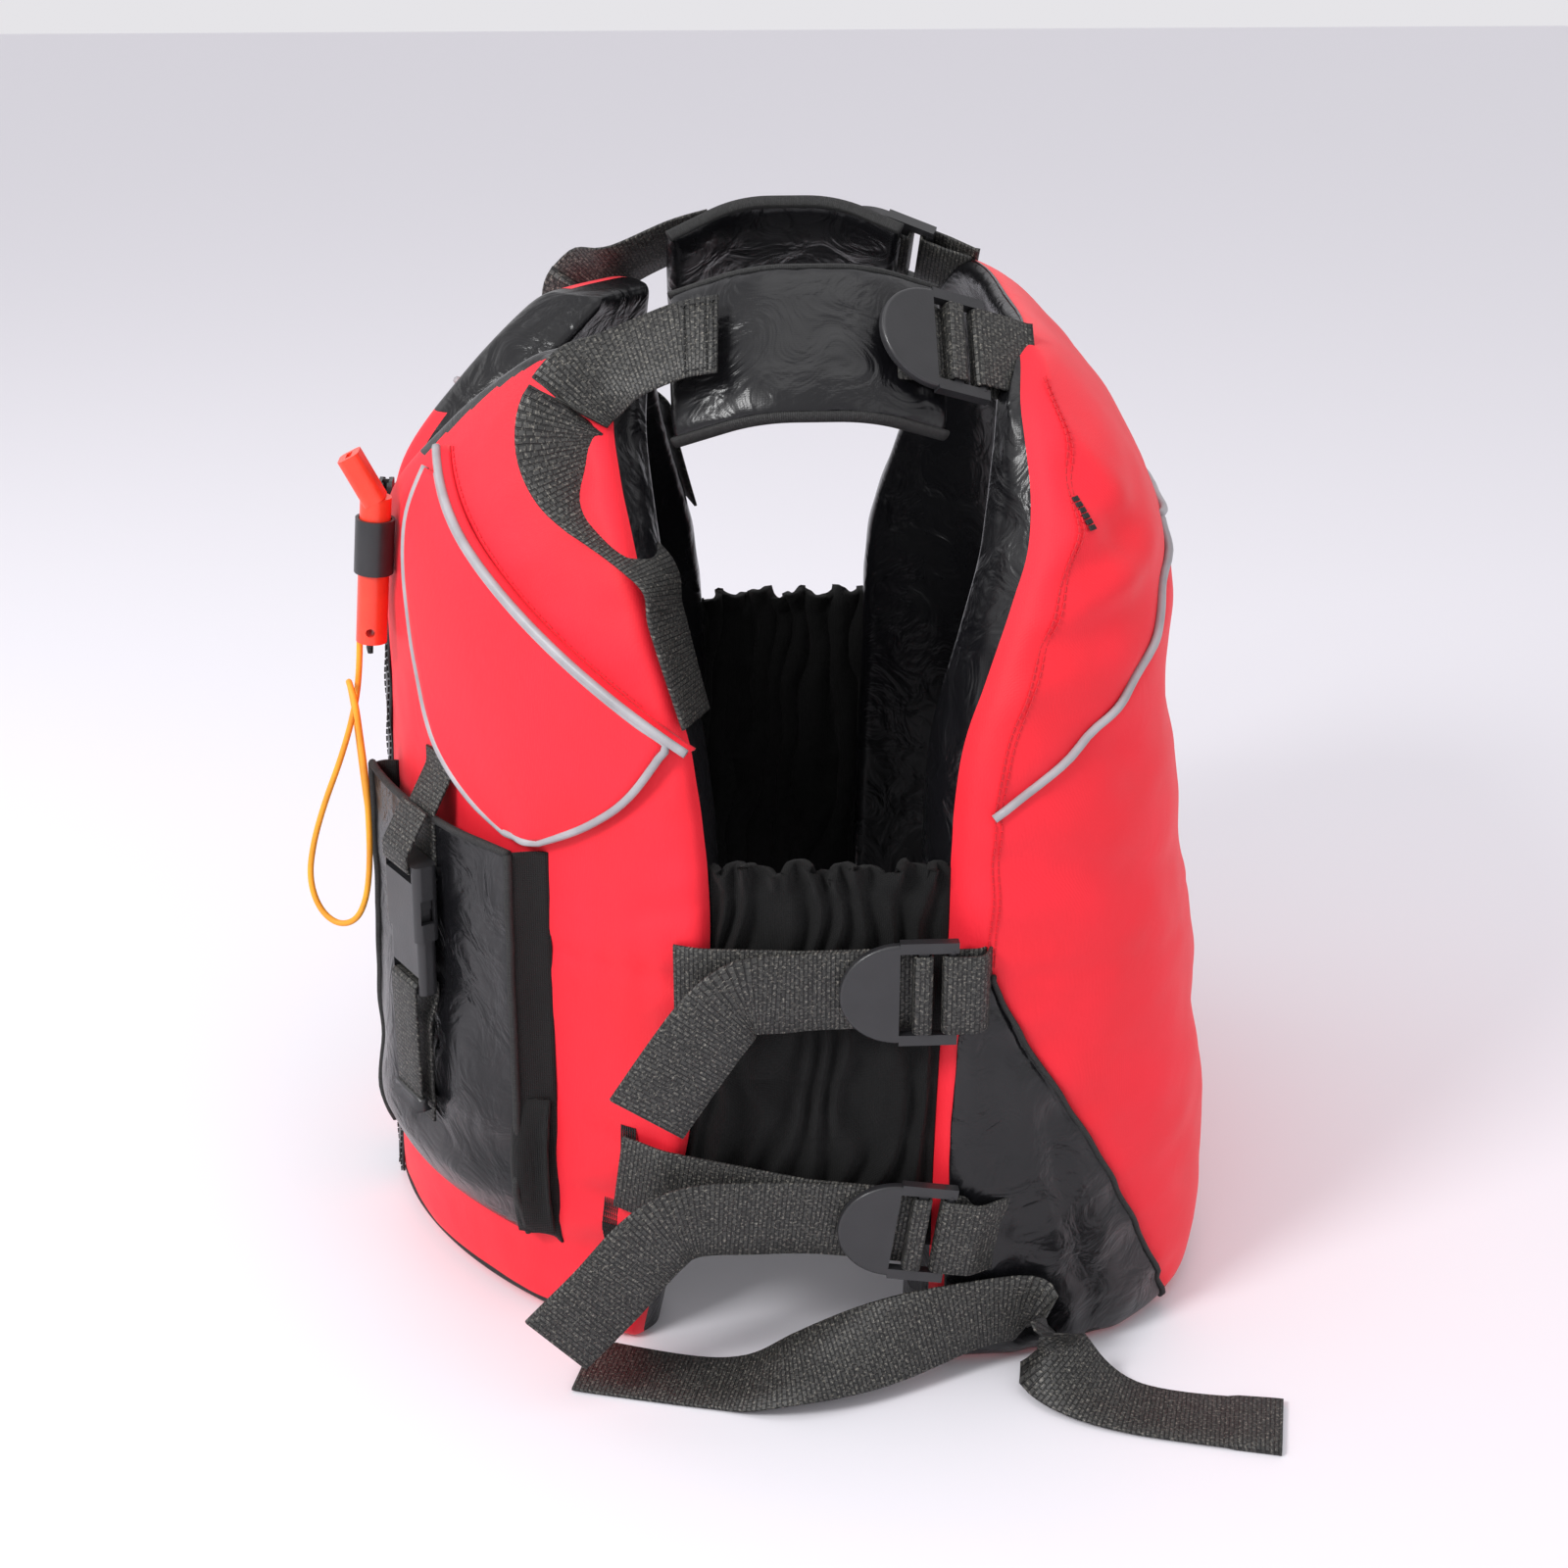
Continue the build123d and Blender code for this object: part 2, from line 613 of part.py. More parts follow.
# ---- whistle in its keeper, and its lanyard ----------------------------------------------
whistle_seat = whistle_radius + 5.6
whistle_low_point = form_point(whistle_low, form_angle(whistle_x, whistle_low), whistle_seat)
whistle_high_point = form_point(whistle_high, form_angle(whistle_x, whistle_high), whistle_seat)
whistle_frame = Plane(origin=whistle_low_point, x_dir=(1, 0, 0), z_dir=whistle_high_point - whistle_low_point)
whistle_length = (whistle_high_point - whistle_low_point).length
mouth_length = 24.0
mouth_lean = 32.0
whistle = Pos(0, 0, whistle_length / 2) * Cylinder(whistle_radius, whistle_length)
whistle -= Pos(0, 0, whistle_length - 22) * Cylinder(whistle_bore, 40)
whistle -= Pos(0, whistle_radius, whistle_length - 30) * Box(9, 7, 8)
whistle -= Pos(0, 0, 6) * Rot(0, 90, 0) * Cylinder(2.1, 40)
mouth = Pos(0, 0, mouth_length / 2) * Box(2 * whistle_radius, 1.5 * whistle_radius, mouth_length)
mouth = fillet(mouth.edges().filter_by(Axis.Z), 3.0)
mouth -= Pos(0, 0, mouth_length / 2) * Box(8, 3, 2 * mouth_length)
whistle += Pos(0, 0, whistle_length - 2) * Rot(mouth_lean, 0, 0) * mouth
keep("whistle", whistle_frame.location * whistle)
keeper_wall = 1.4
keeper_low = 34.0
keeper_height = 26.0
keeper_inside = whistle_radius + 0.5
keeper = Cylinder(keeper_inside + keeper_wall, keeper_height) - Cylinder(keeper_inside, keeper_height * 2)
keep("whistle_keeper", whistle_frame.location * Pos(0, 0, keeper_low + keeper_height / 2) * keeper)

corners = [Vector(*p) for p in cord_route]
radii = []
for i in range(1, len(corners) - 1):
    before = corners[i] - corners[i - 1]
    after = corners[i + 1] - corners[i]
    turn = math.radians(before.get_angle(after))
    radii.append(0.45 * min(before.length, after.length) / math.tan(turn / 2))
cord_path = FilletPolyline(*corners, radius=radii)
cord_plane = Plane(origin=cord_path @ 0, z_dir=cord_path % 0)
cord = sweep(cord_plane * Circle(cord_diameter / 2), path=cord_path)
keep("whistle_cord", cord)
print("cord radii", [round(r, 1) for r in radii], "length", round(cord_path.length))
print("cord volume over section times length",
      round(cord.volume / (math.pi * cord_diameter**2 / 4 * cord_path.length), 4))

os.makedirs("parts", exist_ok=True)
for name, shape in parts.items():
    export_step(shape, f"parts/{name}.step")
    print(name, len(shape.solids()), "solids", round(shape.volume), "mm3")
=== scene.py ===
import bpy
import bmesh
import math
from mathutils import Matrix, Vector, noise


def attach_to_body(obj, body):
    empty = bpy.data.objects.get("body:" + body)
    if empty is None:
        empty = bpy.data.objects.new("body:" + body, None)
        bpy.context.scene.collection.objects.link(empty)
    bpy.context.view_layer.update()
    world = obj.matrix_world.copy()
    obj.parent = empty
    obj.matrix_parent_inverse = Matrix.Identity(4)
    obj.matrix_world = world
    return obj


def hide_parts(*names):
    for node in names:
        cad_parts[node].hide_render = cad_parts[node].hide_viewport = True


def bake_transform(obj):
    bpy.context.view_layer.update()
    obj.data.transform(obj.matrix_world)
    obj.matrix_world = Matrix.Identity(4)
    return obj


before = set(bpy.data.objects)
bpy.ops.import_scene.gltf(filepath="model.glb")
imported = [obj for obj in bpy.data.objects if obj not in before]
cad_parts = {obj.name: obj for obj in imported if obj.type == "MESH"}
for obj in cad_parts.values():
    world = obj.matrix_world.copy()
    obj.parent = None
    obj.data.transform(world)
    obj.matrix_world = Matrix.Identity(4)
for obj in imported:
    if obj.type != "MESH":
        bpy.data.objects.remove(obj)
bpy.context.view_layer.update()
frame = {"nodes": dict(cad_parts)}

print("frame loaded")

# the jacket's form, as the CAD has it
mm = 0.001
degreeArc = 0.0175        # the arc of one degree on a radius of one
form = {
    "heights": [0, 45, 160, 300, 375, 420, 455, 480],
    "halfWidths": [196, 198, 198, 197, 187, 168, 146, 130],
    "frontDepths": [202, 200, 195, 190, 186, 160, 136, 116],
    "backDepths": [206, 210, 198, 176, 172, 152, 122, 98],
    "frontPower": 1.7,
    "backPower": 3.6,
    "shift": -3.0,
    "originShift": -4.9,
}
edges = {
    "heights": [0, 110, 215, 300, 350, 395, 430, 470],
    "frontArmhole": [66, 74, 78, 76, 71, 65, 58, 51],
    "backArmhole": [108, 108, 109, 110, 115, 121, 125, 131],
    "gusset": [140, 126, 112, 112, 116, 122, 126, 132],
    "neckHeights": [330, 356, 378, 402, 428, 452],
    "neckAngles": [2.4, 3.2, 5.5, 11, 19, 31],
}


def smooth(heights, values, z):
    if z <= heights[0]:
        return values[0]
    if z >= heights[-1]:
        return values[-1]
    k = max(i for i in range(len(heights) - 1) if heights[i] <= z)
    span = heights[k + 1] - heights[k]
    slopes = []
    for i in (k, k + 1):
        low = max(i - 1, 0)
        high = min(i + 1, len(heights) - 1)
        slopes.append((values[high] - values[low]) / (heights[high] - heights[low]) * span)
    t = (z - heights[k]) / span
    start = values[k] * (2 * t**3 - 3 * t**2 + 1) + slopes[0] * (t**3 - 2 * t**2 + t)
    return start + values[k + 1] * (3 * t**2 - 2 * t**3) + slopes[1] * (t**3 - t**2)


def formRadius(z, angle):
    side = abs(math.sin(math.radians(angle)))
    ahead = math.cos(math.radians(angle))
    depth = smooth(form["heights"], form["frontDepths"] if ahead >= 0 else form["backDepths"], z)
    power = form["frontPower"] if ahead >= 0 else form["backPower"]
    wide = smooth(form["heights"], form["halfWidths"], z)
    return ((side / wide) ** power + (abs(ahead) / depth) ** power) ** (-1 / power)


def formPoint(z, angle, out=0.0, mirror=1):
    # a point over the outer face, in metres; heights and distances come in millimetres
    radius = formRadius(z, angle) + out
    turn = math.radians(angle)
    y = -radius * math.cos(turn) + form["shift"] + form["originShift"]
    return Vector((mirror * radius * math.sin(turn), y, z)) * mm


def outward(angle, mirror=1):
    turn = math.radians(angle)
    return Vector((mirror * math.sin(turn), -math.cos(turn), 0))


def frontArmhole(z):
    return smooth(edges["heights"], edges["frontArmhole"], z)


def backArmhole(z):
    return smooth(edges["heights"], edges["backArmhole"], z)


def gussetSeam(z):
    return smooth(edges["heights"], edges["gusset"], z)


def angleAt(x, z):
    low, high = 0.0, 89.0
    for _ in range(40):
        middle = (low + high) / 2
        if formPoint(z, middle).x < x * mm:
            low = middle
        else:
            high = middle
    return low


def frontEdge(z):
    return max(angleAt(7.5, z), smooth(edges["neckHeights"], edges["neckAngles"], z))


def ease(x):
    # 0 to 1 with a soft start and end
    x = min(1.0, max(0.0, x))
    return x * x * (3 - 2 * x)


materials = {}


def newMaterial(name, colour, roughness):
    material = bpy.data.materials.new(name)
    material.use_nodes = True
    nodes = material.node_tree.nodes
    shader = nodes["Principled BSDF"]
    shader.inputs["Base Color"].default_value = (*colour, 1)
    shader.inputs["Roughness"].default_value = roughness
    materials[name] = material
    return material, nodes, material.node_tree.links, shader


def addNode(nodes, kind, **values):
    node = nodes.new(kind)
    for key, value in values.items():
        if key in node.inputs:
            node.inputs[key].default_value = value
        else:
            setattr(node, key, value)
    return node


def colourRamp(nodes, stops):
    ramp = nodes.new("ShaderNodeValToRGB")
    while len(ramp.color_ramp.elements) < len(stops):
        ramp.color_ramp.elements.new(0.5)
    for element, (place, colour) in zip(ramp.color_ramp.elements, stops):
        element.position = place
        element.color = (*colour, 1)
    return ramp


def clothMaterial(name, colour, dark, roughness, weave, bump, wrinkle, sheen, coat=0.0, gloss=0.5):
    # fine plain weave on Object coordinates, with soft creases and shade changes
    material, nodes, links, shader = newMaterial(name, colour, roughness)
    place = addNode(nodes, "ShaderNodeTexCoord")
    shade = addNode(nodes, "ShaderNodeTexNoise", Scale=14.0, Detail=4.0, Roughness=0.55)
    ramp = colourRamp(nodes, [(0.34, dark), (0.68, colour)])
    links.new(place.outputs["Object"], shade.inputs["Vector"])
    links.new(shade.outputs["Fac"], ramp.inputs["Fac"])
    links.new(ramp.outputs["Color"], shader.inputs["Base Color"])
    heights = []
    for direction, scale in (("X", weave), ("Y", weave), ("Z", weave)):
        wave = addNode(nodes, "ShaderNodeTexWave", bands_direction=direction, Scale=scale, Distortion=0.6)
        links.new(place.outputs["Object"], wave.inputs["Vector"])
        heights.append(wave)
    total = addNode(nodes, "ShaderNodeMath", operation="ADD")
    links.new(heights[0].outputs["Fac"], total.inputs[0])
    links.new(heights[1].outputs["Fac"], total.inputs[1])
    weaveSum = addNode(nodes, "ShaderNodeMath", operation="ADD")
    links.new(total.outputs[0], weaveSum.inputs[0])
    links.new(heights[2].outputs["Fac"], weaveSum.inputs[1])
    creases = addNode(nodes, "ShaderNodeTexNoise", Scale=38.0, Detail=3.0, Distortion=1.6)
    links.new(place.outputs["Object"], creases.inputs["Vector"])
    fine = addNode(nodes, "ShaderNodeBump", Strength=bump, Distance=0.0004)
    links.new(weaveSum.outputs[0], fine.inputs["Height"])
    broad = addNode(nodes, "ShaderNodeBump", Strength=wrinkle, Distance=0.003)
    links.new(creases.outputs["Fac"], broad.inputs["Height"])
    links.new(fine.outputs["Normal"], broad.inputs["Normal"])
    links.new(broad.outputs["Normal"], shader.inputs["Normal"])
    rough = addNode(nodes, "ShaderNodeMapRange")
    rough.inputs["To Min"].default_value = roughness * 0.85
    rough.inputs["To Max"].default_value = min(1.0, roughness * 1.15)
    links.new(shade.outputs["Fac"], rough.inputs["Value"])
    links.new(rough.outputs["Result"], shader.inputs["Roughness"])
    shader.inputs["Sheen Weight"].default_value = sheen
    shader.inputs["Specular IOR Level"].default_value = gloss
    shader.inputs["Sheen Roughness"].default_value = 0.4
    shader.inputs["Coat Weight"].default_value = coat
    shader.inputs["Coat Roughness"].default_value = 0.25
    return material


def webbingMaterial(name, base, speck, rows, pitch, shine):
    # woven ribs on the piece's own UV map, which is in metres across and along
    material, nodes, links, shader = newMaterial(name, base, shine)
    place = addNode(nodes, "ShaderNodeUVMap", uv_map="weave")
    turned = addNode(nodes, "ShaderNodeMapping")
    turned.inputs["Scale"].default_value = (rows, 1 / pitch, 1)
    links.new(place.outputs["UV"], turned.inputs["Vector"])
    bricks = addNode(nodes, "ShaderNodeTexBrick", Scale=1.0)
    bricks.inputs["Mortar Size"].default_value = 0.09
    bricks.inputs["Mortar Smooth"].default_value = 0.7
    bricks.inputs["Brick Width"].default_value = 1.0
    bricks.inputs["Row Height"].default_value = 0.5
    bricks.inputs["Color1"].default_value = (*base, 1)
    bricks.inputs["Color2"].default_value = (*[c * 2.4 for c in base], 1)
    bricks.inputs["Mortar"].default_value = (*[c * 0.25 for c in base], 1)
    links.new(turned.outputs["Vector"], bricks.inputs["Vector"])
    specks = addNode(nodes, "ShaderNodeTexNoise", Scale=2.6, Detail=3.0, Roughness=0.7)
    links.new(turned.outputs["Vector"], specks.inputs["Vector"])
    speckRamp = colourRamp(nodes, [(0.54, (0, 0, 0)), (0.76, (1, 1, 1))])
    links.new(specks.outputs["Fac"], speckRamp.inputs["Fac"])
    mix = addNode(nodes, "ShaderNodeMixRGB")
    mix.inputs["Color2"].default_value = (*speck, 1)
    links.new(speckRamp.outputs["Color"], mix.inputs["Fac"])
    links.new(bricks.outputs["Color"], mix.inputs["Color1"])
    links.new(mix.outputs["Color"], shader.inputs["Base Color"])
    bump = addNode(nodes, "ShaderNodeBump", Strength=1.0, Distance=0.0009)
    inverse = addNode(nodes, "ShaderNodeMath", operation="SUBTRACT")
    inverse.inputs[0].default_value = 1.0
    links.new(bricks.outputs["Fac"], inverse.inputs[1])
    links.new(inverse.outputs[0], bump.inputs["Height"])
    links.new(bump.outputs["Normal"], shader.inputs["Normal"])
    return material


def plasticMaterial(name, colour, roughness, grain, coat=0.0):
    material, nodes, links, shader = newMaterial(name, colour, roughness)
    place = addNode(nodes, "ShaderNodeTexCoord")
    speckle = addNode(nodes, "ShaderNodeTexNoise", Scale=grain, Detail=2.0)
    links.new(place.outputs["Object"], speckle.inputs["Vector"])
    bump = addNode(nodes, "ShaderNodeBump", Strength=0.25, Distance=0.0003)
    links.new(speckle.outputs["Fac"], bump.inputs["Height"])
    links.new(bump.outputs["Normal"], shader.inputs["Normal"])
    wear = addNode(nodes, "ShaderNodeTexNoise", Scale=60.0, Detail=5.0)
    links.new(place.outputs["Object"], wear.inputs["Vector"])
    spread = addNode(nodes, "ShaderNodeMapRange")
    spread.inputs["To Min"].default_value = roughness * 0.7
    spread.inputs["To Max"].default_value = min(1.0, roughness * 1.35)
    links.new(wear.outputs["Fac"], spread.inputs["Value"])
    links.new(spread.outputs["Result"], shader.inputs["Roughness"])
    tone = colourRamp(nodes, [(0.3, [c * 0.8 for c in colour]), (0.75, [min(1, c * 1.15) for c in colour])])
    links.new(wear.outputs["Fac"], tone.inputs["Fac"])
    links.new(tone.outputs["Color"], shader.inputs["Base Color"])
    shader.inputs["Coat Weight"].default_value = coat
    return material


clothMaterial("redNylon", (0.90, 0.010, 0.030), (0.82, 0.006, 0.020), 0.66, 520.0, 0.16, 0.10, 0.10)
clothMaterial("blackCoated", (0.008, 0.008, 0.009), (0.004, 0.004, 0.005), 0.27, 520.0, 0.06, 0.8, 0.0,
              coat=0.05, gloss=0.38)
clothMaterial("blackWoven", (0.009, 0.009, 0.009), (0.004, 0.004, 0.004), 0.72, 330.0, 0.5, 0.15, 0.05,
              gloss=0.3)
clothMaterial("blackElastic", (0.009, 0.009, 0.009), (0.004, 0.004, 0.004), 0.85, 420.0, 0.5, 0.3, 0.03,
              gloss=0.25)
webbingMaterial("webbing", (0.016, 0.016, 0.015), (0.30, 0.28, 0.24), 300.0, 0.0040, 0.55)
webbingMaterial("binding", (0.014, 0.014, 0.014), (0.06, 0.06, 0.055), 700.0, 0.0018, 0.7)
plasticMaterial("orangePlastic", (0.95, 0.05, 0.02), 0.36, 500.0, 0.2)
plasticMaterial("blackPlain", (0.020, 0.020, 0.022), 0.38, 900.0, 0.1)
plasticMaterial("cordPlain", (0.96, 0.36, 0.02), 0.6, 2600.0)
plasticMaterial("darkMetal", (0.05, 0.05, 0.052), 0.28, 700.0)
plasticMaterial("blackThread", (0.012, 0.012, 0.012), 0.7, 2500.0)
plasticMaterial("redThread", (0.62, 0.008, 0.02), 0.7, 2500.0)
plasticMaterial("silverPiping", (0.36, 0.35, 0.37), 0.38, 1800.0)
print("materials made")


def finishMesh(name, verts, faces, slots, faceSlots=None, uvs=None, smoothShade=True):
    name = name.replace(" ", "_")
    mesh = bpy.data.meshes.new(name)
    mesh.from_pydata([tuple(v) for v in verts], [], faces)
    for slot in slots:
        mesh.materials.append(materials[slot])
    if faceSlots:
        for polygon, index in zip(mesh.polygons, faceSlots):
            polygon.material_index = index
    if uvs:
        layer = mesh.uv_layers.new(name="weave")
        for loop in mesh.loops:
            layer.data[loop.index].uv = uvs[loop.vertex_index]
    for polygon in mesh.polygons:
        polygon.use_smooth = smoothShade
    piece = bpy.data.objects.new(name, mesh)
    bpy.context.collection.objects.link(piece)
    return piece


def attach(piece, bodies, stands=(), bend=None):
    # a piece rides on one body; when bend ends are given it is only baked in place with no parent, and it
    # may stand for CAD nodes, which are hidden
    if bend:
        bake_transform(piece)
    else:
        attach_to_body(piece, bodies)
    if stands:
        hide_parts(*stands)


def recalc(piece, merge=0.00001):
    work = bmesh.new()
    work.from_mesh(piece.data)
    if merge:
        bmesh.ops.remove_doubles(work, verts=work.verts, dist=merge)
    bmesh.ops.recalc_face_normals(work, faces=work.faces)
    work.to_mesh(piece.data)
    work.free()


def applyModifier(piece):
    graph = bpy.context.evaluated_depsgraph_get()
    mesh = bpy.data.meshes.new_from_object(piece.evaluated_get(graph))
    old = piece.data
    piece.modifiers.clear()
    piece.data = mesh
    bpy.data.meshes.remove(old)


def subdivide(piece, levels=1):
    modifier = piece.modifiers.new("smooth", "SUBSURF")
    modifier.levels = levels
    modifier.render_levels = levels
    applyModifier(piece)


def spline(points, step):
    # a centripetal curve through points of any size, resampled at about the step
    result = []
    count = len(points)
    for i in range(count - 1):
        p0 = points[max(i - 1, 0)]
        p1 = points[i]
        p2 = points[i + 1]
        p3 = points[min(i + 2, count - 1)]
        length = math.dist(p1[:3], p2[:3])
        pieces = max(1, round(length / step))
        for k in range(pieces):
            t = k / pieces
            row = []
            for a, b, c, d in zip(p0, p1, p2, p3):
                row.append(0.5 * (2 * b + (c - a) * t + (2 * a - 5 * b + 4 * c - d) * t * t
                                  + (3 * b - a - 3 * c + d) * t**3))
            result.append(row)
    result.append(list(points[-1]))
    return result


def strip(name, stations, width, thickness, material, hemEnds=(0, 0), step=4.0, mirror=1):
    # webbing: a closed ribbon through (middle, across) stations in metres, its UVs in metres
    rows = spline([list(p) + list(Vector(a).normalized()) for p, a in stations], step * mm)
    verts, faces, uvs = [], [], []
    half = width / 2 * mm
    edge = half - 0.0006
    along = 0.0
    total = sum(math.dist(a[:3], b[:3]) for a, b in zip(rows, rows[1:]))
    profile = [(-half, 0), (-edge, 1), (-half / 3, 1), (half / 3, 1), (edge, 1),
               (half, 0), (edge, -1), (half / 3, -1), (-half / 3, -1), (-edge, -1)]
    for i, row in enumerate(rows):
        point = Vector(row[:3])
        if i:
            along += (point - Vector(rows[i - 1][:3])).length
        ahead = Vector(rows[min(i + 1, len(rows) - 1)][:3]) - Vector(rows[max(i - 1, 0)][:3])
        ahead.normalize()
        across = Vector(row[3:6])
        across = (across - ahead * across.dot(ahead)).normalized()
        up = ahead.cross(across)
        thick = thickness / 2 * mm
        if along < hemEnds[0] * mm or total - along < hemEnds[1] * mm:
            thick *= 2.0
        for u, w in profile:
            spot = point + across * u + up * (w * thick)
            verts.append((spot.x * mirror, spot.y, spot.z))
            uvs.append((u + half, along + 0.0004 * w))
    count = len(profile)
    for i in range(len(rows) - 1):
        for k in range(count):
            a, b = i * count + k, i * count + (k + 1) % count
            faces.append((a, b, b + count, a + count))
    faces.append(tuple(range(count)))
    faces.append(tuple(range((len(rows) - 1) * count, len(rows) * count)))
    piece = finishMesh(name, verts, faces, [material], None, uvs)
    recalc(piece, 0)
    return piece


def tube(name, points, radius, material, sides=8, step=4.0, mirror=1, flat=1.0):
    # piping or binding: a closed tube along a smoothed line of metres
    rows = spline([list(p) for p in points], step * mm)
    verts, faces, uvs = [], [], []
    side = None
    along = 0.0
    for i, row in enumerate(rows):
        point = Vector(row[:3])
        if i:
            along += (point - Vector(rows[i - 1][:3])).length
        ahead = (Vector(rows[min(i + 1, len(rows) - 1)][:3]) - Vector(rows[max(i - 1, 0)][:3])).normalized()
        if side is None:
            side = ahead.orthogonal().normalized()
        side = (side - ahead * side.dot(ahead)).normalized()
        up = ahead.cross(side)
        for k in range(sides):
            turn = 2 * math.pi * k / sides
            spot = point + (side * math.cos(turn) + up * math.sin(turn) * flat) * radius * mm
            verts.append((spot.x * mirror, spot.y, spot.z))
            uvs.append((turn * radius * mm, along))
    for i in range(len(rows) - 1):
        for k in range(sides):
            a, b = i * sides + k, i * sides + (k + 1) % sides
            faces.append((a, b, b + sides, a + sides))
    faces.append(tuple(range(sides)))
    faces.append(tuple(range((len(rows) - 1) * sides, len(rows) * sides)))
    piece = finishMesh(name, verts, faces, [material], None, uvs)
    recalc(piece, 0)
    return piece


def slab(name, grid, thickness, slots, slotAt=None, mirror=1, uvs=None):
    # a closed sheet: the grid is its outer face, and the thickness goes to the inside
    rows, columns = len(grid), len(grid[0])
    verts, faces, faceSlots, places = [], [], [], []
    for j in range(rows):
        for i in range(columns):
            a = grid[min(j + 1, rows - 1)][i] - grid[max(j - 1, 0)][i]
            b = grid[j][min(i + 1, columns - 1)] - grid[j][max(i - 1, 0)]
            normal = b.cross(a).normalized()
            point = grid[j][i]
            inner = point - normal * thickness * mm
            verts.append((point.x * mirror, point.y, point.z))
            verts.append((inner.x * mirror, inner.y, inner.z))
            place = (i * 0.004, j * 0.004)
            places += [place, place]

    def spot(j, i, layer):
        return (j * columns + i) * 2 + layer

    for j in range(rows - 1):
        for i in range(columns - 1):
            slot = slotAt(j, i) if slotAt else 0
            for layer in (0, 1):
                faces.append(tuple(spot(row, column, layer) for row, column in
                                   ((j, i), (j, i + 1), (j + 1, i + 1), (j + 1, i))))
                faceSlots.append(slot)
    rim = [(0, i) for i in range(columns)] + [(j, columns - 1) for j in range(1, rows)]
    rim += [(rows - 1, i) for i in range(columns - 2, -1, -1)] + [(j, 0) for j in range(rows - 2, 0, -1)]
    for (j, i), (k, l) in zip(rim, rim[1:] + rim[:1]):
        faces.append((spot(j, i, 0), spot(k, l, 0), spot(k, l, 1), spot(j, i, 1)))
        faceSlots.append(slotAt(min(j, rows - 2), min(i, columns - 2)) if slotAt else 0)
    piece = finishMesh(name, verts, faces, slots, faceSlots, places)
    recalc(piece, 0)
    return piece


def stitchTree():
    # stitches along a line: named inputs for their pitch, length and thickness
    tree = bpy.data.node_groups.new("stitchesAlongLine", "GeometryNodeTree")
    face = tree.interface
    face.new_socket("Geometry", in_out="INPUT", socket_type="NodeSocketGeometry")
    for label, value in (("pitch", 0.004), ("length", 0.0028), ("thickness", 0.0004)):
        face.new_socket(label, in_out="INPUT", socket_type="NodeSocketFloat").default_value = value
    face.new_socket("thread", in_out="INPUT", socket_type="NodeSocketMaterial")
    face.new_socket("Geometry", in_out="OUTPUT", socket_type="NodeSocketGeometry")
    nodes, links = tree.nodes, tree.links
    start, end = nodes.new("NodeGroupInput"), nodes.new("NodeGroupOutput")
    curve = nodes.new("GeometryNodeMeshToCurve")
    spread = nodes.new("GeometryNodeCurveToPoints")
    spread.mode = "LENGTH"
    stitch = nodes.new("GeometryNodeMeshCylinder")
    stitch.inputs["Vertices"].default_value = 6
    place = nodes.new("GeometryNodeInstanceOnPoints")
    real = nodes.new("GeometryNodeRealizeInstances")
    paint = nodes.new("GeometryNodeSetMaterial")
    links.new(start.outputs["Geometry"], curve.inputs["Mesh"])
    links.new(curve.outputs["Curve"], spread.inputs["Curve"])
    links.new(start.outputs["pitch"], spread.inputs["Length"])
    links.new(start.outputs["thickness"], stitch.inputs["Radius"])
    links.new(start.outputs["length"], stitch.inputs["Depth"])
    links.new(spread.outputs["Points"], place.inputs["Points"])
    links.new(spread.outputs["Rotation"], place.inputs["Rotation"])
    links.new(stitch.outputs["Mesh"], place.inputs["Instance"])
    links.new(place.outputs["Instances"], real.inputs["Geometry"])
    links.new(real.outputs["Geometry"], paint.inputs["Geometry"])
    links.new(start.outputs["thread"], paint.inputs["Material"])
    links.new(paint.outputs["Geometry"], end.inputs["Geometry"])
    return tree


stitches = stitchTree()


def sew(name, lines, thread="blackThread", pitch=4.0, length=2.8, thickness=0.45, mirror=1):
    # one piece of stitching along several lines of points in metres
    name = name.replace(" ", "_")
    verts, edgeList = [], []
    for line in lines:
        first = len(verts)
        verts += [(p[0] * mirror, p[1], p[2]) for p in line]
        edgeList += [(i, i + 1) for i in range(first, len(verts) - 1)]
    mesh = bpy.data.meshes.new(name)
    mesh.from_pydata(verts, edgeList, [])
    piece = bpy.data.objects.new(name, mesh)
    bpy.context.collection.objects.link(piece)
    modifier = piece.modifiers.new("stitches", "NODES")
    modifier.node_group = stitches
    sizes = {"pitch": pitch * mm, "length": length * mm, "thickness": thickness * mm,
             "thread": materials[thread]}
    for item in stitches.interface.items_tree:
        if item.in_out == "INPUT" and item.name in sizes:
            modifier[item.identifier] = sizes[item.name]
    applyModifier(piece)
    return piece


panels = {
    "frontThickness": 40, "backThickness": 48, "backTopThickness": 18, "taperStart": 390,
    "frontTop": 452, "backTop": 462, "frontRound": 9, "backRound": 11,
    "rowStep": 6.0, "frontColumns": 64, "backColumns": 110, "seamHeight": 200, "gussetTop": 205,
}


def fall(distance, radius):
    if distance >= radius:
        return 0.0
    return radius * (1 - math.sqrt(max(0.0, 1 - (1 - distance / radius) ** 2)))


def groove(distance, width, depth):
    return -depth * math.exp(-(distance / width) ** 2)


def ripple(along, distance, height, reach, wave):
    # small folds that run off a seam and die away from it
    wander = 2.2 * noise.noise(Vector((along * 0.03, 0.4, 1.7)))
    return height * math.sin(along / wave + wander) * math.exp(-abs(distance) / reach)


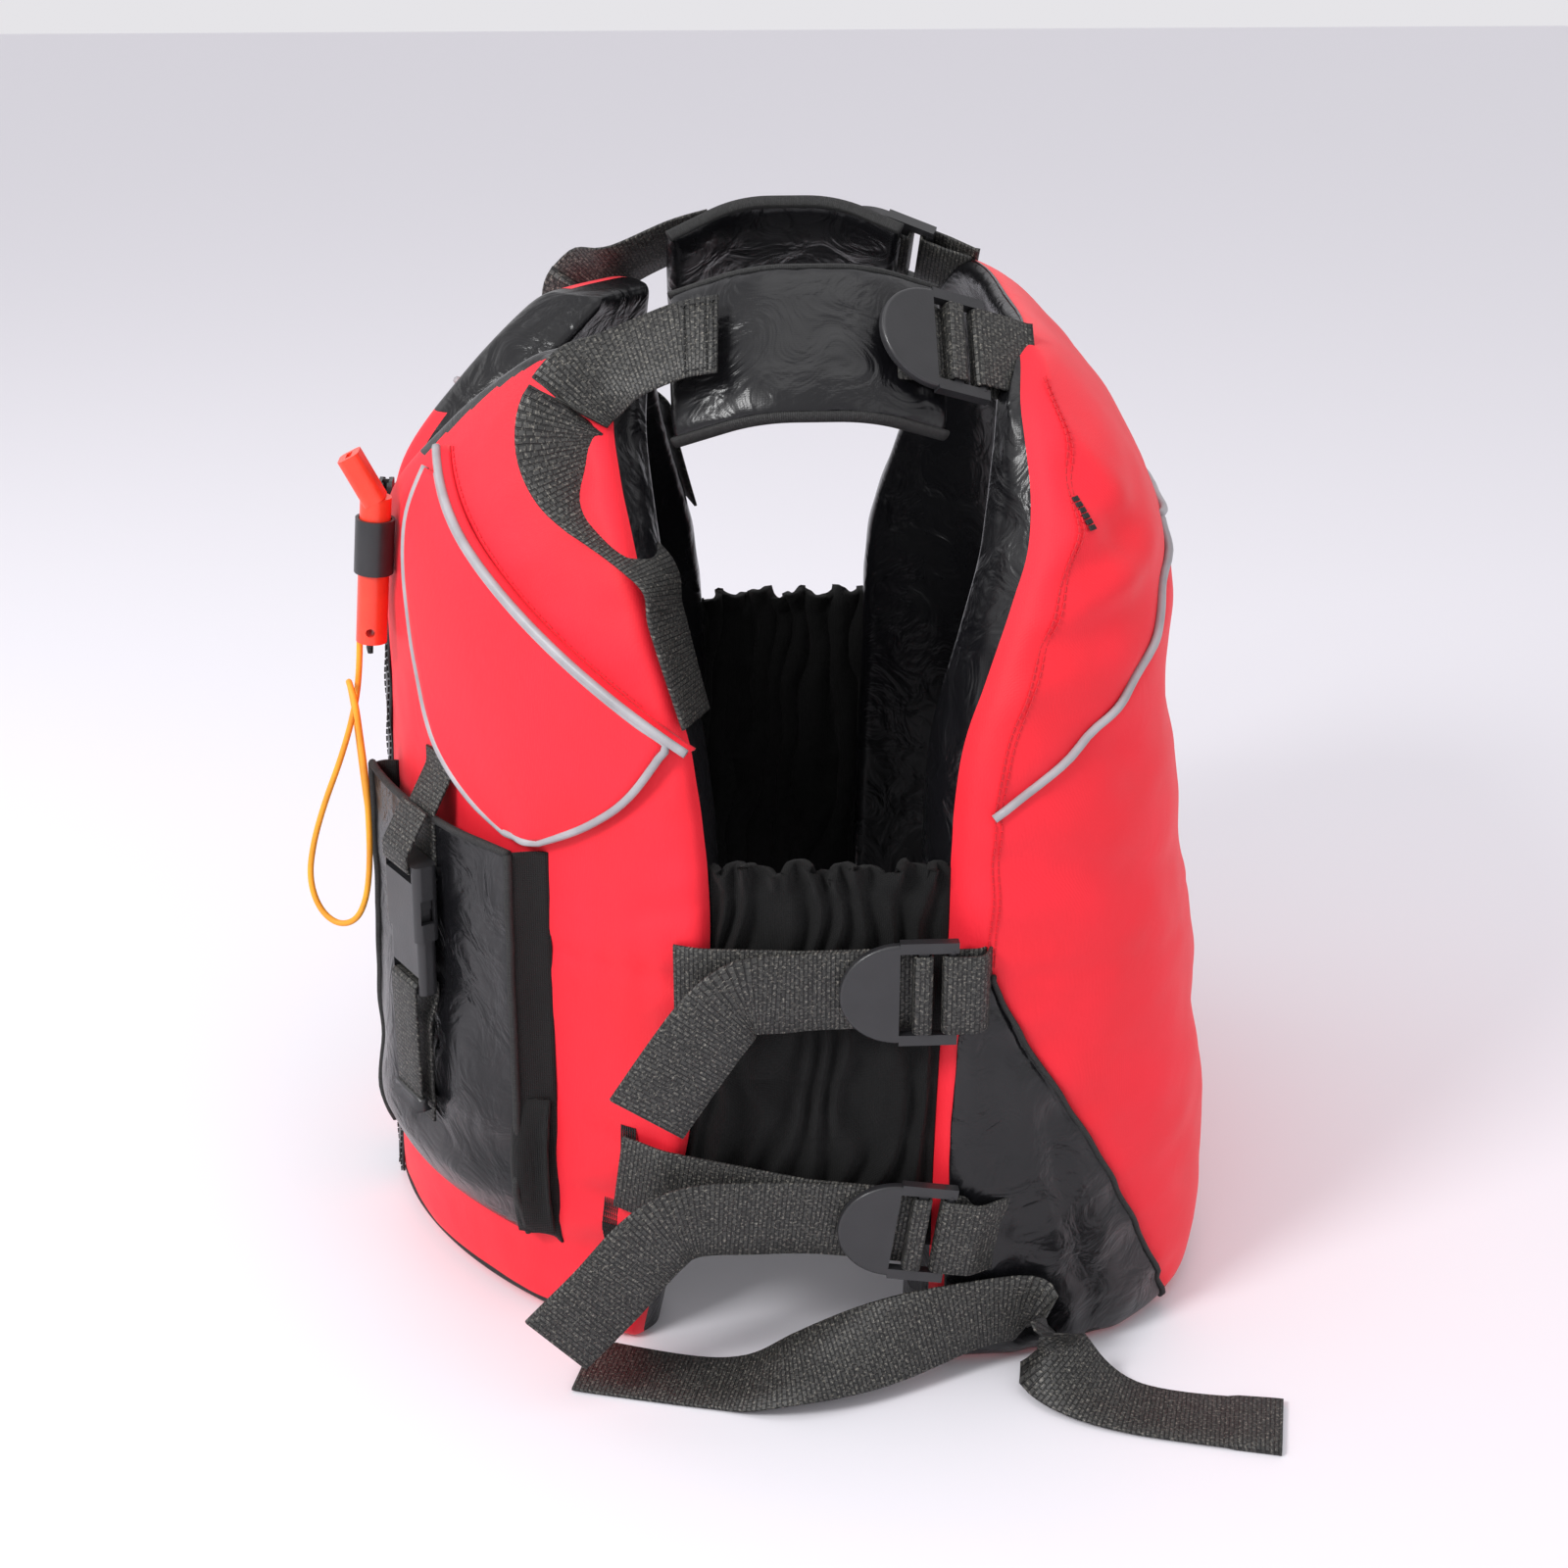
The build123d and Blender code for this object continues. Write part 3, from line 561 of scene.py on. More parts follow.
folds = {
    # each fold: its two ends as (angle, height), its half width and its depth
    "front": [((76, 306), (58, 258), 6, 1.8), ((79, 108), (58, 118), 7, 2.4), ((78, 92), (56, 74), 7, 2.2),
              ((72, 66), (52, 36), 8, 2.0), ((60, 425), (42, 380), 8, 1.4), ((77, 240), (66, 228), 5, 1.4)],
    "back": [((122, 436), (136, 376), 8, 3.4), ((117, 372), (142, 402), 7, 3.0),
             ((116, 352), (150, 366), 9, 2.4), ((112, 203), (162, 198), 2.6, 1.4),
             ((114, 262), (142, 226), 10, 2.2), ((150, 150), (168, 50), 12, 2.4),
             ((118, 330), (132, 296), 8, 2.0), ((130, 120), (150, 40), 9, 1.6)],
}


def foldDepth(part, z, angle, radius):
    total = 0.0
    scale = radius * math.radians(1)
    for (a0, z0), (a1, z1), wide, deep in folds[part]:
        ax, az = (a1 - a0) * scale, z1 - z0
        px, pz = (angle - a0) * scale, z - z0
        t = (px * ax + pz * az) / (ax * ax + az * az)
        if -0.15 < t < 1.15:
            away = abs(px * az - pz * ax) / math.hypot(ax, az)
            taper = ease((t + 0.15) / 0.25) * ease((1.15 - t) / 0.5)
            shoulderOfFold = 0.5 * math.exp(-((away - 2 * wide) / wide) ** 2)
            total -= deep * taper * (math.exp(-(away / wide) ** 2) - shoulderOfFold)
    return total


def frontPuff(z, angle):
    radius = formRadius(z, angle)
    value = 1.2 * math.sin(math.pi * min(1, max(0, z / panels["frontTop"])))
    seam = z - panels["seamHeight"]
    if angle > 50:
        value += groove(seam, 4.0, 2.6) + ripple(angle * radius * degreeArc, seam, 0.7, 16, 3.1)
    edge = (frontArmhole(z) - angle) * radius * degreeArc
    value += ripple(z, edge, 0.9, 18, 4.2)
    point = Vector((angle * 0.05, z * 0.02, 3.0))
    value += 1.4 * noise.noise(point * 1.3) + 0.6 * noise.noise(point * 4.1)
    value += foldDepth("front", z, angle, radius)
    return min(2.3, value)


def backPuff(z, angle):
    turn = min(angle, 360 - angle)
    radius = formRadius(z, angle)
    value = 2.4 * math.sin(math.pi * min(1, max(0, z / panels["backTop"])))
    seamAngle = pipingAngle(z)
    if seamAngle:
        value += groove((turn - seamAngle) * radius * degreeArc, 5.0, 2.2)
        value += ripple(z, (turn - seamAngle) * radius * degreeArc, 0.7, 20, 4.4)
    edge = (turn - gussetSeam(z) if z < panels["gussetTop"] else turn - backArmhole(z)) * radius * degreeArc
    value += ripple(z, edge, 1.1, 16, 4.6) + groove(edge, 3.0, 1.4)
    if z > 380:
        value += 1.4 * math.sin(z / 5.2 + angle * 0.06) * ease((z - 380) / 40) * ease((150 - turn) / 30)
    point = Vector((angle * 0.045, z * 0.018, 8.0))
    value += foldDepth("back", z, turn, radius)
    if z < 214:
        value -= 3.2 * ease((gussetSeam(z) + 0.6 - turn) / 1.2) * ease((214 - z) / 8)
    return value + 2.8 * noise.noise(point * 1.1) + 1.1 * noise.noise(point * 3.7)


def pipingAngle(z):
    # the diagonal seam of the back panel: from the armhole edge up to the middle of the back
    if 280 <= z <= 380:
        return 112.0 + (z - 280) * 0.40
    return None


def heightRows(low, high, radius, step):
    rows = []
    edgeSteps = 5
    for i in range(edgeSteps):
        rows.append(low + radius * (1 - math.cos(math.pi / 2 * i / edgeSteps)))
    count = round((high - low - 2 * radius) / step)
    rows += [low + radius + (high - low - 2 * radius) * i / count for i in range(count + 1)]
    for i in range(edgeSteps - 1, -1, -1):
        rows.append(high - radius * (1 - math.cos(math.pi / 2 * i / edgeSteps)))
    return rows


def paddedPanel(name, low, high, start, end, depthAt, puffAt, slotAt, round_, columns, mirror=1, bulge=2.0):
    rows = heightRows(low, high, round_, panels["rowStep"])
    edgeSteps = 6
    shares = []
    for i in range(columns):
        s = i / (columns - 1)
        shares.append(0.45 * s + 0.55 * (0.5 - 0.5 * math.cos(math.pi * s)))
    verts, ringSlots = [], []
    for z in rows:
        first, last = start(z), end(z)
        depth = depthAt(z)
        endFall = fall(min(z - low, high - z), round_)
        ring, slotsHere = [], []

        def face(share, inner):
            angle = first + (last - first) * share
            radius = formRadius(z, angle)
            side = min(share, 1 - share) * (last - first) * math.radians(1) * radius
            draw = min(round_ * 1.3, math.hypot(endFall, fall(side, round_)))
            if inner:
                out = -depth + draw
            else:
                window = ease(side / 14) * ease(min(z - low, high - z) / 14)
                out = -draw + puffAt(z, angle) * (0.25 + 0.75 * window)
            return formPoint(z, angle, out, mirror)

        for s in shares:
            ring.append(face(s, False))
            slotsHere.append(slotAt(z, first + (last - first) * s))
        for edgeShare, sign, source, target in ((1, 1, False, True), (0, -1, True, False)):
            if not source:
                a, b = face(1, False), face(1, True)
            else:
                for s in reversed(shares):
                    ring.append(face(s, True))
                    slotsHere.append(2)
                a, b = face(0, True), face(0, False)
            angle = first if edgeShare == 0 else last
            turn = math.radians(angle)
            tangent = Vector((mirror * math.cos(turn), math.sin(turn), 0)) * sign
            for k in range(1, edgeSteps):
                t = k / edgeSteps
                pucker = 0.5 * math.sin(z / 4.4 + 3 * t)
                swell = bulge * math.sin(math.pi * t) + pucker * math.sin(math.pi * t)
                ring.append(a.lerp(b, t) + tangent * swell * mm)
                slotsHere.append(1)
        verts += ring
        ringSlots.append(slotsHere)
    count = len(ringSlots[0])
    faces, faceSlots = [], []
    for j in range(len(rows) - 1):
        for k in range(count):
            n = (k + 1) % count
            faces.append((j * count + k, j * count + n, (j + 1) * count + n, (j + 1) * count + k))
            here = ringSlots[j][k]
            if k == columns - 1 or k == count - 1:
                here = 1
            faceSlots.append(here)
    innerStart = columns + edgeSteps - 1
    for base in (0, (len(rows) - 1) * count):
        for k in range(columns - 1):
            a, b = base + k, base + k + 1
            c, d = base + innerStart + columns - 1 - (k + 1), base + innerStart + columns - 1 - k
            faces.append((a, b, c, d))
            faceSlots.append(1)
        faces.append(tuple(base + k for k in range(columns - 1, innerStart + 1)))
        faces.append(tuple([base + k for k in range(innerStart + columns - 1, count)] + [base]))
        faceSlots += [1, 1]
    uvs = [(v.x + v.y, v.z) for v in verts]
    piece = finishMesh(name, verts, faces, ["redNylon", "blackCoated", "blackCoated"], faceSlots, uvs)
    recalc(piece, 0)
    return piece


def backDepth(z):
    share = max(0.0, (z - panels["taperStart"]) / (panels["backTop"] - panels["taperStart"]))
    return panels["backThickness"] - (panels["backThickness"] - panels["backTopThickness"]) * share**1.5


sides = (("left", 1), ("right", -1))


def frontPanel(side, mirror):
    front = paddedPanel(f"front panel {side}", 0, panels["frontTop"], frontEdge, frontArmhole,
                        lambda z: panels["frontThickness"], frontPuff,
                        lambda z, angle: 2 if z > 400 and angle < frontEdge(z) + 5 else 0,
                        panels["frontRound"], panels["frontColumns"], mirror)
    subdivide(front)
    attach(front, f"front_{side}",
           (f"front_shell_{side}", f"front_foam_{side}", f"front_lining_{side}"))


for side, mirror in sides:
    frontPanel(side, mirror)


def backEdge(z):
    # the armhole edge, rounded off at the top corners
    return backArmhole(z) + 9.0 * max(0.0, (z - 436) / 26) ** 2.2


back = paddedPanel("back panel", 0, panels["backTop"], backEdge, lambda z: 360 - backEdge(z),
                   backDepth, backPuff, lambda z, angle: 0, panels["backRound"], panels["backColumns"],
                   bulge=2.5)
subdivide(back)
attach(back, "back", ("back_shell", "back_foam", "back_lining"))

# the coated lower side of the back, let in below the armhole
gusset = {
    "low": 1.5, "height": 206, "rows": 56, "columns": 32, "proud": 3.6, "crown": 1.4, "wall": 1.2,
}


def sideGusset(side, mirror):
    grid = []
    for j in range(gusset["rows"]):
        z = gusset["low"] + gusset["height"] * j / (gusset["rows"] - 1)
        first, last = backArmhole(z) + 0.8, max(gussetSeam(z), backArmhole(z) + 1.2)
        row = []
        for i in range(gusset["columns"] + 1):
            share = i / gusset["columns"]
            angle = first + (last - first) * share
            low = fall(min(z, 60), panels["backRound"]) * 0.95
            fromEdge = max(0.0, (angle - backArmhole(z))) * formRadius(z, angle) * degreeArc
            edge = fall(fromEdge, panels["backRound"])
            sag = 1.5 * noise.noise(Vector((angle * 0.12, z * 0.03, 4.0)))
            sag += 0.9 * noise.noise(Vector((angle * 0.3, z * 0.09, 7.0)))
            middle = math.sin(math.pi * share)
            crease = 1.3 * math.sin((angle - first) * 0.9 + z * 0.05) * middle
            crown = gusset["crown"] * ease(share * 5) * ease((1 - share) * 5)
            out = backPuff(z, angle) + gusset["proud"] + crown - max(low, edge)
            row.append(formPoint(z, angle, out + (sag + crease) * middle))
        grid.append(row)
    panel = slab(f"coated side gusset {side}", grid, gusset["wall"], ["blackCoated"], None, mirror)
    subdivide(panel)
    attach(panel, "back", (f"lower_side_gusset_{side}",))
    hem = tube(f"gusset seam binding {side}", [row[-1] for row in grid[1:]], 1.3, "binding", 8, 4.0, mirror)
    attach(hem, "back")


for side, mirror in sides:
    sideGusset(side, mirror)
print("panels made")

# chest flaps: leaf shaped, with piping along the seam and the free edges
flap = {
    "thickness": 2.4, "lift": 3.6, "low": 254, "top": 400, "piping": 1.9,
    "seamTop": (22.0, 408.0), "seamLow": (75.0, 312.0),
    "edgeHeights": [254, 266, 284, 312], "edgeAngles": [53, 60, 67, 73],
    "sideHeights": [254, 264, 282, 312, 340, 372, 400], "sideAngles": [47, 39, 31, 26, 24, 22, 21],
}


def flapSeam(z):
    share = (flap["seamTop"][1] - z) / (flap["seamTop"][1] - flap["seamLow"][1])
    return flap["seamTop"][0] + (flap["seamLow"][0] - flap["seamTop"][0]) * share


def flapRear(z):
    return min(smooth(flap["edgeHeights"], flap["edgeAngles"], z), flapSeam(z) - 1.0)


def flapSide(z):
    return smooth(flap["sideHeights"], flap["sideAngles"], z)


def flapOut(z, share):
    drape = 2.2 * ease((300 - z) / 50) * math.sin(math.pi * share)
    fold = 0.8 * math.sin(share * 9 + z * 0.03) * ease((330 - z) / 60)
    return flap["lift"] + flap["thickness"] + 0.4 + drape + fold


def chestFlap(side, mirror):
    grid = []
    for j in range(45):
        z = flap["low"] + (flap["top"] - flap["low"]) * j / 44
        first, last = flapSide(z), flapRear(z)
        grid.append([formPoint(z, first + (last - first) * i / 24, flapOut(z, i / 24)) for i in range(25)])
    leaf = slab(f"chest flap leaf {side}", grid, flap["thickness"], ["redNylon"], None, mirror)
    attach(leaf, f"chest_flap_{side}", (f"chest_flap_{side}",))
    edgeLine = [row[0] for row in reversed(grid)] + list(grid[0][1:]) + [row[-1] for row in grid[1:]]
    edgeLine = [Vector((p.x, p.y + 0.0012, p.z)) for p in edgeLine]
    rim = tube(f"flap edge piping {side}", edgeLine[::2], flap["piping"], "silverPiping", 8, 4.0, mirror)
    attach(rim, f"chest_flap_{side}")
    seamHeights = [311 + 98 * i / 30 for i in range(31)]
    seamLine = [formPoint(z, flapSeam(z) + 0.4, flap["lift"] + 2.6) for z in seamHeights]
    seam = tube(f"flap seam piping {side}", seamLine, 2.1, "silverPiping", 8, 4.0, mirror)
    attach(seam, f"front_{side}")
    seamBack = [[formPoint(z, flapSeam(z) + 1.2 - 1.0 * i / 5, 0.6 + 4.0 * math.sin(math.pi / 2 * i / 5))
                 for i in range(6)] for z in seamHeights]
    hold = slab(f"flap seam {side}", seamBack, 1.0, ["redNylon"], None, mirror)
    attach(hold, f"front_{side}")
    lines = [[formPoint(z, flapSeam(z) + 2.6, frontPuff(z, flapSeam(z) + 2.6) + 0.25) for z in seamHeights
              if flapSeam(z) + 6 < frontArmhole(z)]]
    topStitch = sew(f"seam stitches {side}", lines, "redThread", 4.0, 2.8, 0.3, mirror)
    attach(topStitch, f"front_{side}")


for side, mirror in sides:
    chestFlap(side, mirror)
print("chest flaps made")

# cargo pockets: coated face, woven gusset along the sides, open at the top
pocket = {
    "start": 12.0, "end": 54.0, "low": 45.0, "high": 248.0, "depth": 13.0, "sag": 13.0, "wall": 1.3,
    "lean": 4.0, "rows": 64, "faceColumns": 28, "sideColumns": 6,
}
pocketOuter = pocket["end"] - pocket["lean"]        # angle of the face's outer edge


def pocketOut(z, share):
    rise = min(1.0, (z - pocket["low"]) / 26)
    round_ = math.sqrt(max(0.0, 1 - (1 - rise) ** 2))
    sag = pocket["sag"] * math.sin(math.pi * min(1, (z - pocket["low"]) / 120))
    sag *= math.sin(math.pi * min(1, max(0, share)))
    held = 0.85 * math.exp(-((share - 0.5) / 0.2) ** 2) * ease((z - 70) / 30)
    wrinkle = 1.8 * noise.noise(Vector((share * 4, z * 0.035, 2.2)))
    wrinkle += 1.4 * math.sin(z / 9.0 + share * 6) * ease((150 - z) / 60)
    fold = 2.0 * math.sin(z / 5.5 + share * 2.5) * ease((0.35 - share) / 0.35) * ease((130 - z) / 60)
    return 0.8 + round_ * (pocket["depth"] - 0.8) + (sag + wrinkle + fold) * rise * 0.8 * (1 - held)


def cargoPocket(side, mirror):
    grid = []
    count = pocket["sideColumns"]
    for j in range(pocket["rows"]):
        z = pocket["low"] + (pocket["high"] - pocket["low"]) * j / (pocket["rows"] - 1)
        row = []
        for k in range(count + 1):
            inward = 1.6 * math.sin(math.pi * k / count)
            out = 0.8 + (pocketOut(z, 0) - 1.2) * k / count - inward
            row.append(formPoint(z, pocket["end"] - pocket["lean"] * k / count, out))
        for i in range(pocket["faceColumns"] + 1):
            share = i / pocket["faceColumns"]
            angle = pocketOuter - 0.3 + (pocket["start"] + 0.3 - pocketOuter) * share
            row.append(formPoint(z, angle, pocketOut(z, share)))
        for k in range(count, -1, -1):
            angle = pocket["start"] - 0.6 * math.sin(math.pi * k / count)
            row.append(formPoint(z, angle, 0.8 + (pocketOut(z, 1) - 1.2) * k / count))
        grid.append(list(reversed(row)))
    pouch = slab(f"pocket pouch {side}", grid, pocket["wall"], ["blackCoated", "blackWoven"],
                 lambda j, i: 1 if i < count or i > pocket["faceColumns"] + count else 0, mirror)
    attach(pouch, f"front_{side}", (f"cargo_pocket_{side}",))
    edgeHeights = [50 + 198 * i / 40 for i in range(41)]
    outerEdge = [formPoint(z, pocketOuter - 0.2, pocketOut(z, 0) + 0.2) for z in edgeHeights]
    innerEdge = [formPoint(z, pocket["start"] + 0.2, pocketOut(z, 1) + 0.2) for z in edgeHeights]
    top = pocket["high"]
    topEdge = [formPoint(top, pocketOuter - 38 * i / 24, pocketOut(top, i / 24)) for i in range(25)]
    for label, line in (("outer", outerEdge), ("inner", innerEdge), ("top", topEdge)):
        binding = tube(f"pocket {label} binding {side}", line, 1.9, "binding", 8, 4.0, mirror)
        attach(binding, f"front_{side}")
    # the gusset folds open at its foot
    foot = []
    for j in range(14):
        z = 52 + 5.5 * j
        gape = math.sin(math.pi * j / 13)
        row = []
        for i in range(9):
            out = 11.5 - 8.5 * i / 8 + gape * (3.0 + 2.5 * math.sin(i * 0.8))
            row.append(formPoint(z, pocket["end"] - 5 + 4.5 * i / 8, out))
        foot.append(list(reversed(row)))
    flare = slab(f"pocket gusset fold {side}", foot, 1.2, ["blackWoven"], None, mirror)
    attach(flare, f"front_{side}")


for side, mirror in sides:
    cargoPocket(side, mirror)
print("pockets made")

# webbing straps, through the ladder locks as the CAD threads them
webbing = {"width": 38.0, "narrow": 25.0, "thickness": 1.6, "gap": 0.4}
lock = {"bar": 2.5, "slot": 8.0, "middle": 4.4, "thickness": 4.6, "tab": 26.0}
barGap = webbing["gap"] + webbing["thickness"] / 2
slotFront = lock["bar"] + lock["slot"]
lockLength = slotFront + lock["middle"] + lock["slot"] + lock["tab"]
wrapRadius = lock["bar"] + barGap
underTab = -(lock["thickness"] / 2 + barGap)
loadRun = underTab - webbing["thickness"] - webbing["gap"]
onFace = webbing["thickness"] / 2 + 1.2
lockRear = 62.0


def belt(name, stations, mirror, hemEnds=(0, 0), step=3.0, width=webbing["width"]):
    return strip(name, stations, width, webbing["thickness"], "webbing", hemEnds, step, mirror)


def roundedLine(points, radii, step=0.7):
    # a line in one plane with rounded corners
    result = [Vector(points[0])]
    for i in range(1, len(points) - 1):
        a, b, c = (Vector(points[k]) for k in (i - 1, i, i + 1))
        before, after = (b - a), (c - b)
        turn = before.angle(after)
        cut = min(radii[i - 1] * math.tan(turn / 2), 0.49 * before.length, 0.49 * after.length)
        start, end = b - before.normalized() * cut, b + after.normalized() * cut
        pieces = max(3, int(turn * radii[i - 1] / step))
        for k in range(pieces + 1):
            t = k / pieces
            result.append((start.lerp(b, t)).lerp(b.lerp(end, t), t))
    result.append(Vector(points[-1]))
    return result


def sideBase(z):
    return formPoint(z, 90).x / mm + wrapRadius + webbing["thickness"] / 2 + webbing["gap"]


def sidePlace(u, w, z, tilt, h=0.0):
    t = math.radians(tilt)
    return Vector((sideBase(z) + w, lockRear + form["originShift"] - u * math.cos(t) - h * math.sin(t),
                   z - u * math.sin(t) + h * math.cos(t))) * mm


def sidePoint(z, tilt, angle, out):
    along = lockRear + form["originShift"] - formPoint(z, angle, out).y / mm
    spot = formPoint(z - along * math.sin(math.radians(tilt)), angle, out) / mm
    return ((lockRear + form["originShift"] - spot.y) / math.cos(math.radians(tilt)), spot.x - sideBase(z))


tails = {
    "upper": [((2, -16, 0), (0, 0, 1)), ((5, -35, 0), (0, -0.1, 1)), ((9, -47, -9), (0, -0.66, 0.75)),
              ((11, -61, -28), (0, -0.84, 0.54)), ((12, -78, -54), (0, -0.84, 0.54))],
    "lower": [((3, -30, 3), (0, 0, 1)), ((6, -60, 4), (0, -0.08, 1)), ((10, -78, -5), (0, -0.55, 0.83)),
              ((14, -99, -28), (0, -0.75, 0.66)), ((18, -122, -51), (0, -0.75, 0.66))],
}
straps = (("upper", 202.0, 0.0), ("lower", 78.0, -8.0))        # height and slope
shiftY = form["originShift"]


def sideStraps(side, mirror):
    for level, z, tilt in straps:
        across = sidePlace(0, 0, z, tilt, 1) - sidePlace(0, 0, z, tilt, 0)
        edge = frontArmhole(z)
        rear, ahead = slotFront - barGap, slotFront + lock["middle"] + barGap
        top, bend = lock["thickness"] / 2 + barGap, webbing["thickness"] * 0.8
        points = [sidePoint(z, tilt, edge - (4 if level == "upper" else 7), onFace + 1.9),
                  sidePoint(z, tilt, edge - 1, onFace + 2.4)]
        points += [(lockLength + 16, loadRun), (rear, loadRun), (rear, top), (ahead, top), (ahead, underTab),
                   (lockLength + 6, underTab)]
        line = roundedLine([(u, w) for u, w in points], [30, 30, bend, bend, bend, bend])
        stations = [(sidePlace(p.x, p.y, z, tilt), across) for p in line]
        base = stations[-1][0]
        stations += [(base + Vector(p) * mm, a) for p, a in tails[level]]
        strap = belt(f"{level} side webbing {side}", stations, mirror, (0, 22))
        rearEnd, frontEnd = ((0.193 * mirror, (ahead + shiftY) * mm, z * mm) for ahead in (7, -46))
        attach(strap, ("back", f"front_{side}"), (f"{level}_side_strap_{side}",),
               (rearEnd, frontEnd))
        tuck = backArmhole(z) + (4.5 if level == "upper" else 9.0)
        inner, outer = sidePoint(z, tilt, tuck, -4.0), sidePoint(z, tilt, tuck, -2.0)
        loop = [inner, (-14, -wrapRadius), (wrapRadius, -wrapRadius), (wrapRadius, wrapRadius),
                (-14, wrapRadius), outer]
        line = roundedLine(loop, [8, wrapRadius - 0.1, wrapRadius - 0.1, 8])
        stations = [(sidePlace(p.x, p.y, z, tilt), across) for p in line]
        anchor = belt(f"{level} side anchor loop {side}", stations, mirror)
        attach(anchor, "back", (f"{level}_side_anchor_{side}",))


def bottomStrap(side, mirror):
    # it lies on the floor beside the hem, its tail behind
    clear = webbing["thickness"] / 2 + 0.4
    shift = Vector((0, form["originShift"] * mm, 0))
    floor = [((188, -104, clear), (-0.6, 0.8, 0)), ((205, -40, clear), (-0.98, 0.2, 0)),
             ((214, 0, 16), (-0.8, 0.1, 0.4)),
             (formPoint(33, 112, onFace + 5.0) / mm - shift / mm, (0, 0, 1)),
             (formPoint(30, 119, onFace + 6.0) / mm - shift / mm, (0, -0.3, 0.95)),
             ((214, 112, 16), (-0.6, 0, 0.8)), ((232, 146, clear), (-0.97, 0.24, 0)),
             ((250, 212, clear), (-0.98, 0.2, 0))]
    stations = [(Vector(p) * mm + shift, a) for p, a in floor]
    bottom = belt(f"bottom webbing {side}", stations, mirror, (0, 24), 4.0)
    attach(bottom, ("back", f"front_{side}"), (f"bottom_strap_{side}",),
           ((0.2 * mirror, 0.045, 0), (0.2 * mirror, -0.045, 0)))


for side, mirror in sides:
    sideStraps(side, mirror)
    bottomStrap(side, mirror)
print("side and bottom straps made")

# side elastics: shirred in rows, with a loose frill along the top
elastic = {"low": 62.0, "high": 254.0, "inset": 12.0, "thickness": 4.0, "pleats": 8, "rows": 6}


def sideElastic(side, mirror):
    grid = []
    for j in range(130):
        v = j / 129
        z = elastic["low"] + (elastic["high"] - elastic["low"]) * v
        row = []
        for i in range(150):
            u = i / 149
            angle = frontArmhole(z) + (backArmhole(z) - frontArmhole(z)) * u
            wander = 0.9 * noise.noise(Vector((u * 4, v * 5, 5.0)))
            pleat = math.sin(2 * math.pi * (elastic["pleats"] * u + wander))
            gather = abs(math.sin(math.pi * elastic["rows"] * min(v, 0.93) / 0.93)) ** 0.6
            crinkle = 0.9 * noise.noise(Vector((u * 16, v * 12, 2.0)))
            height = (1.6 + 1.2 * gather) * pleat + 0.6 * gather + crinkle
            frill = ease((v - 0.93) / 0.07)
            height = height * (1 - frill) + (4.2 * pleat + 1.4 * math.sin(u * 97)) * frill
            hold = ease(min(u, 1 - u) / 0.06)
            lift = 5.0 * frill * noise.noise(Vector((u * 9, 1.0, 9.0)))
            row.append(formPoint(z + lift, angle, -elastic["inset"] + 2.0 + height * hold))
        grid.append(row)
    ruched = slab(f"ruched elastic {side}", grid, elastic["thickness"], ["blackElastic"], None, mirror)
    bend = ((0.193 * mirror, (12 + shiftY) * mm, 0.15), (0.193 * mirror, (-48 + shiftY) * mm, 0.15))
    attach(ruched, ("back", f"front_{side}"), (f"side_elastic_{side}",), bend)


for side, mirror in sides:
    sideElastic(side, mirror)
print("side elastics made")

# shoulders: u runs forward from the apex, w away from the shoulder, h towards the neck
shoulder = {"apex": (113.0, 4.0, 466.0), "slope": 45.0, "padWidth": 72.0, "padThickness": 13.0,
            "lockTurn": 26.0, "lockRear": (-74.0, -10.0)}
lean = math.sin(math.radians(shoulder["slope"]))


def shoulderPlace(u, w, h=0.0):
    x, y, z = shoulder["apex"]
    return Vector((x + (w - h) * lean, y - u + form["originShift"], z + (w + h) * lean)) * mm


def lockPlace(a, b):
    turn = math.radians(shoulder["lockTurn"])
    return (shoulder["lockRear"][0] + a * math.cos(turn) - b * math.sin(turn),
            shoulder["lockRear"][1] + a * math.sin(turn) + b * math.cos(turn))


def lockSpot(u, w):
    turn = math.radians(shoulder["lockTurn"])
    du, dw = u - shoulder["lockRear"][0], w - shoulder["lockRear"][1]
    return (du * math.cos(turn) + dw * math.sin(turn), dw * math.cos(turn) - du * math.sin(turn))


def shoulderBend(mirror):
    # two points over the shoulder, one towards the back and one towards the front; attach bakes a piece
    # given them in place and does not bend it
    return ((0.11 * mirror, (38 + shiftY) * mm, 0.46), (0.11 * mirror, (-34 + shiftY) * mm, 0.46))


padLine = roundedLine([(-58, -18), (-26, -1), (22, -1), (57, -21)], [60, 60], 3.0)
padLine = [Vector(p[:2]) for p in spline([list(p) for p in padLine], 3.0)]
acrossShoulder = shoulderPlace(0, 0, 1) - shoulderPlace(0, 0, 0)


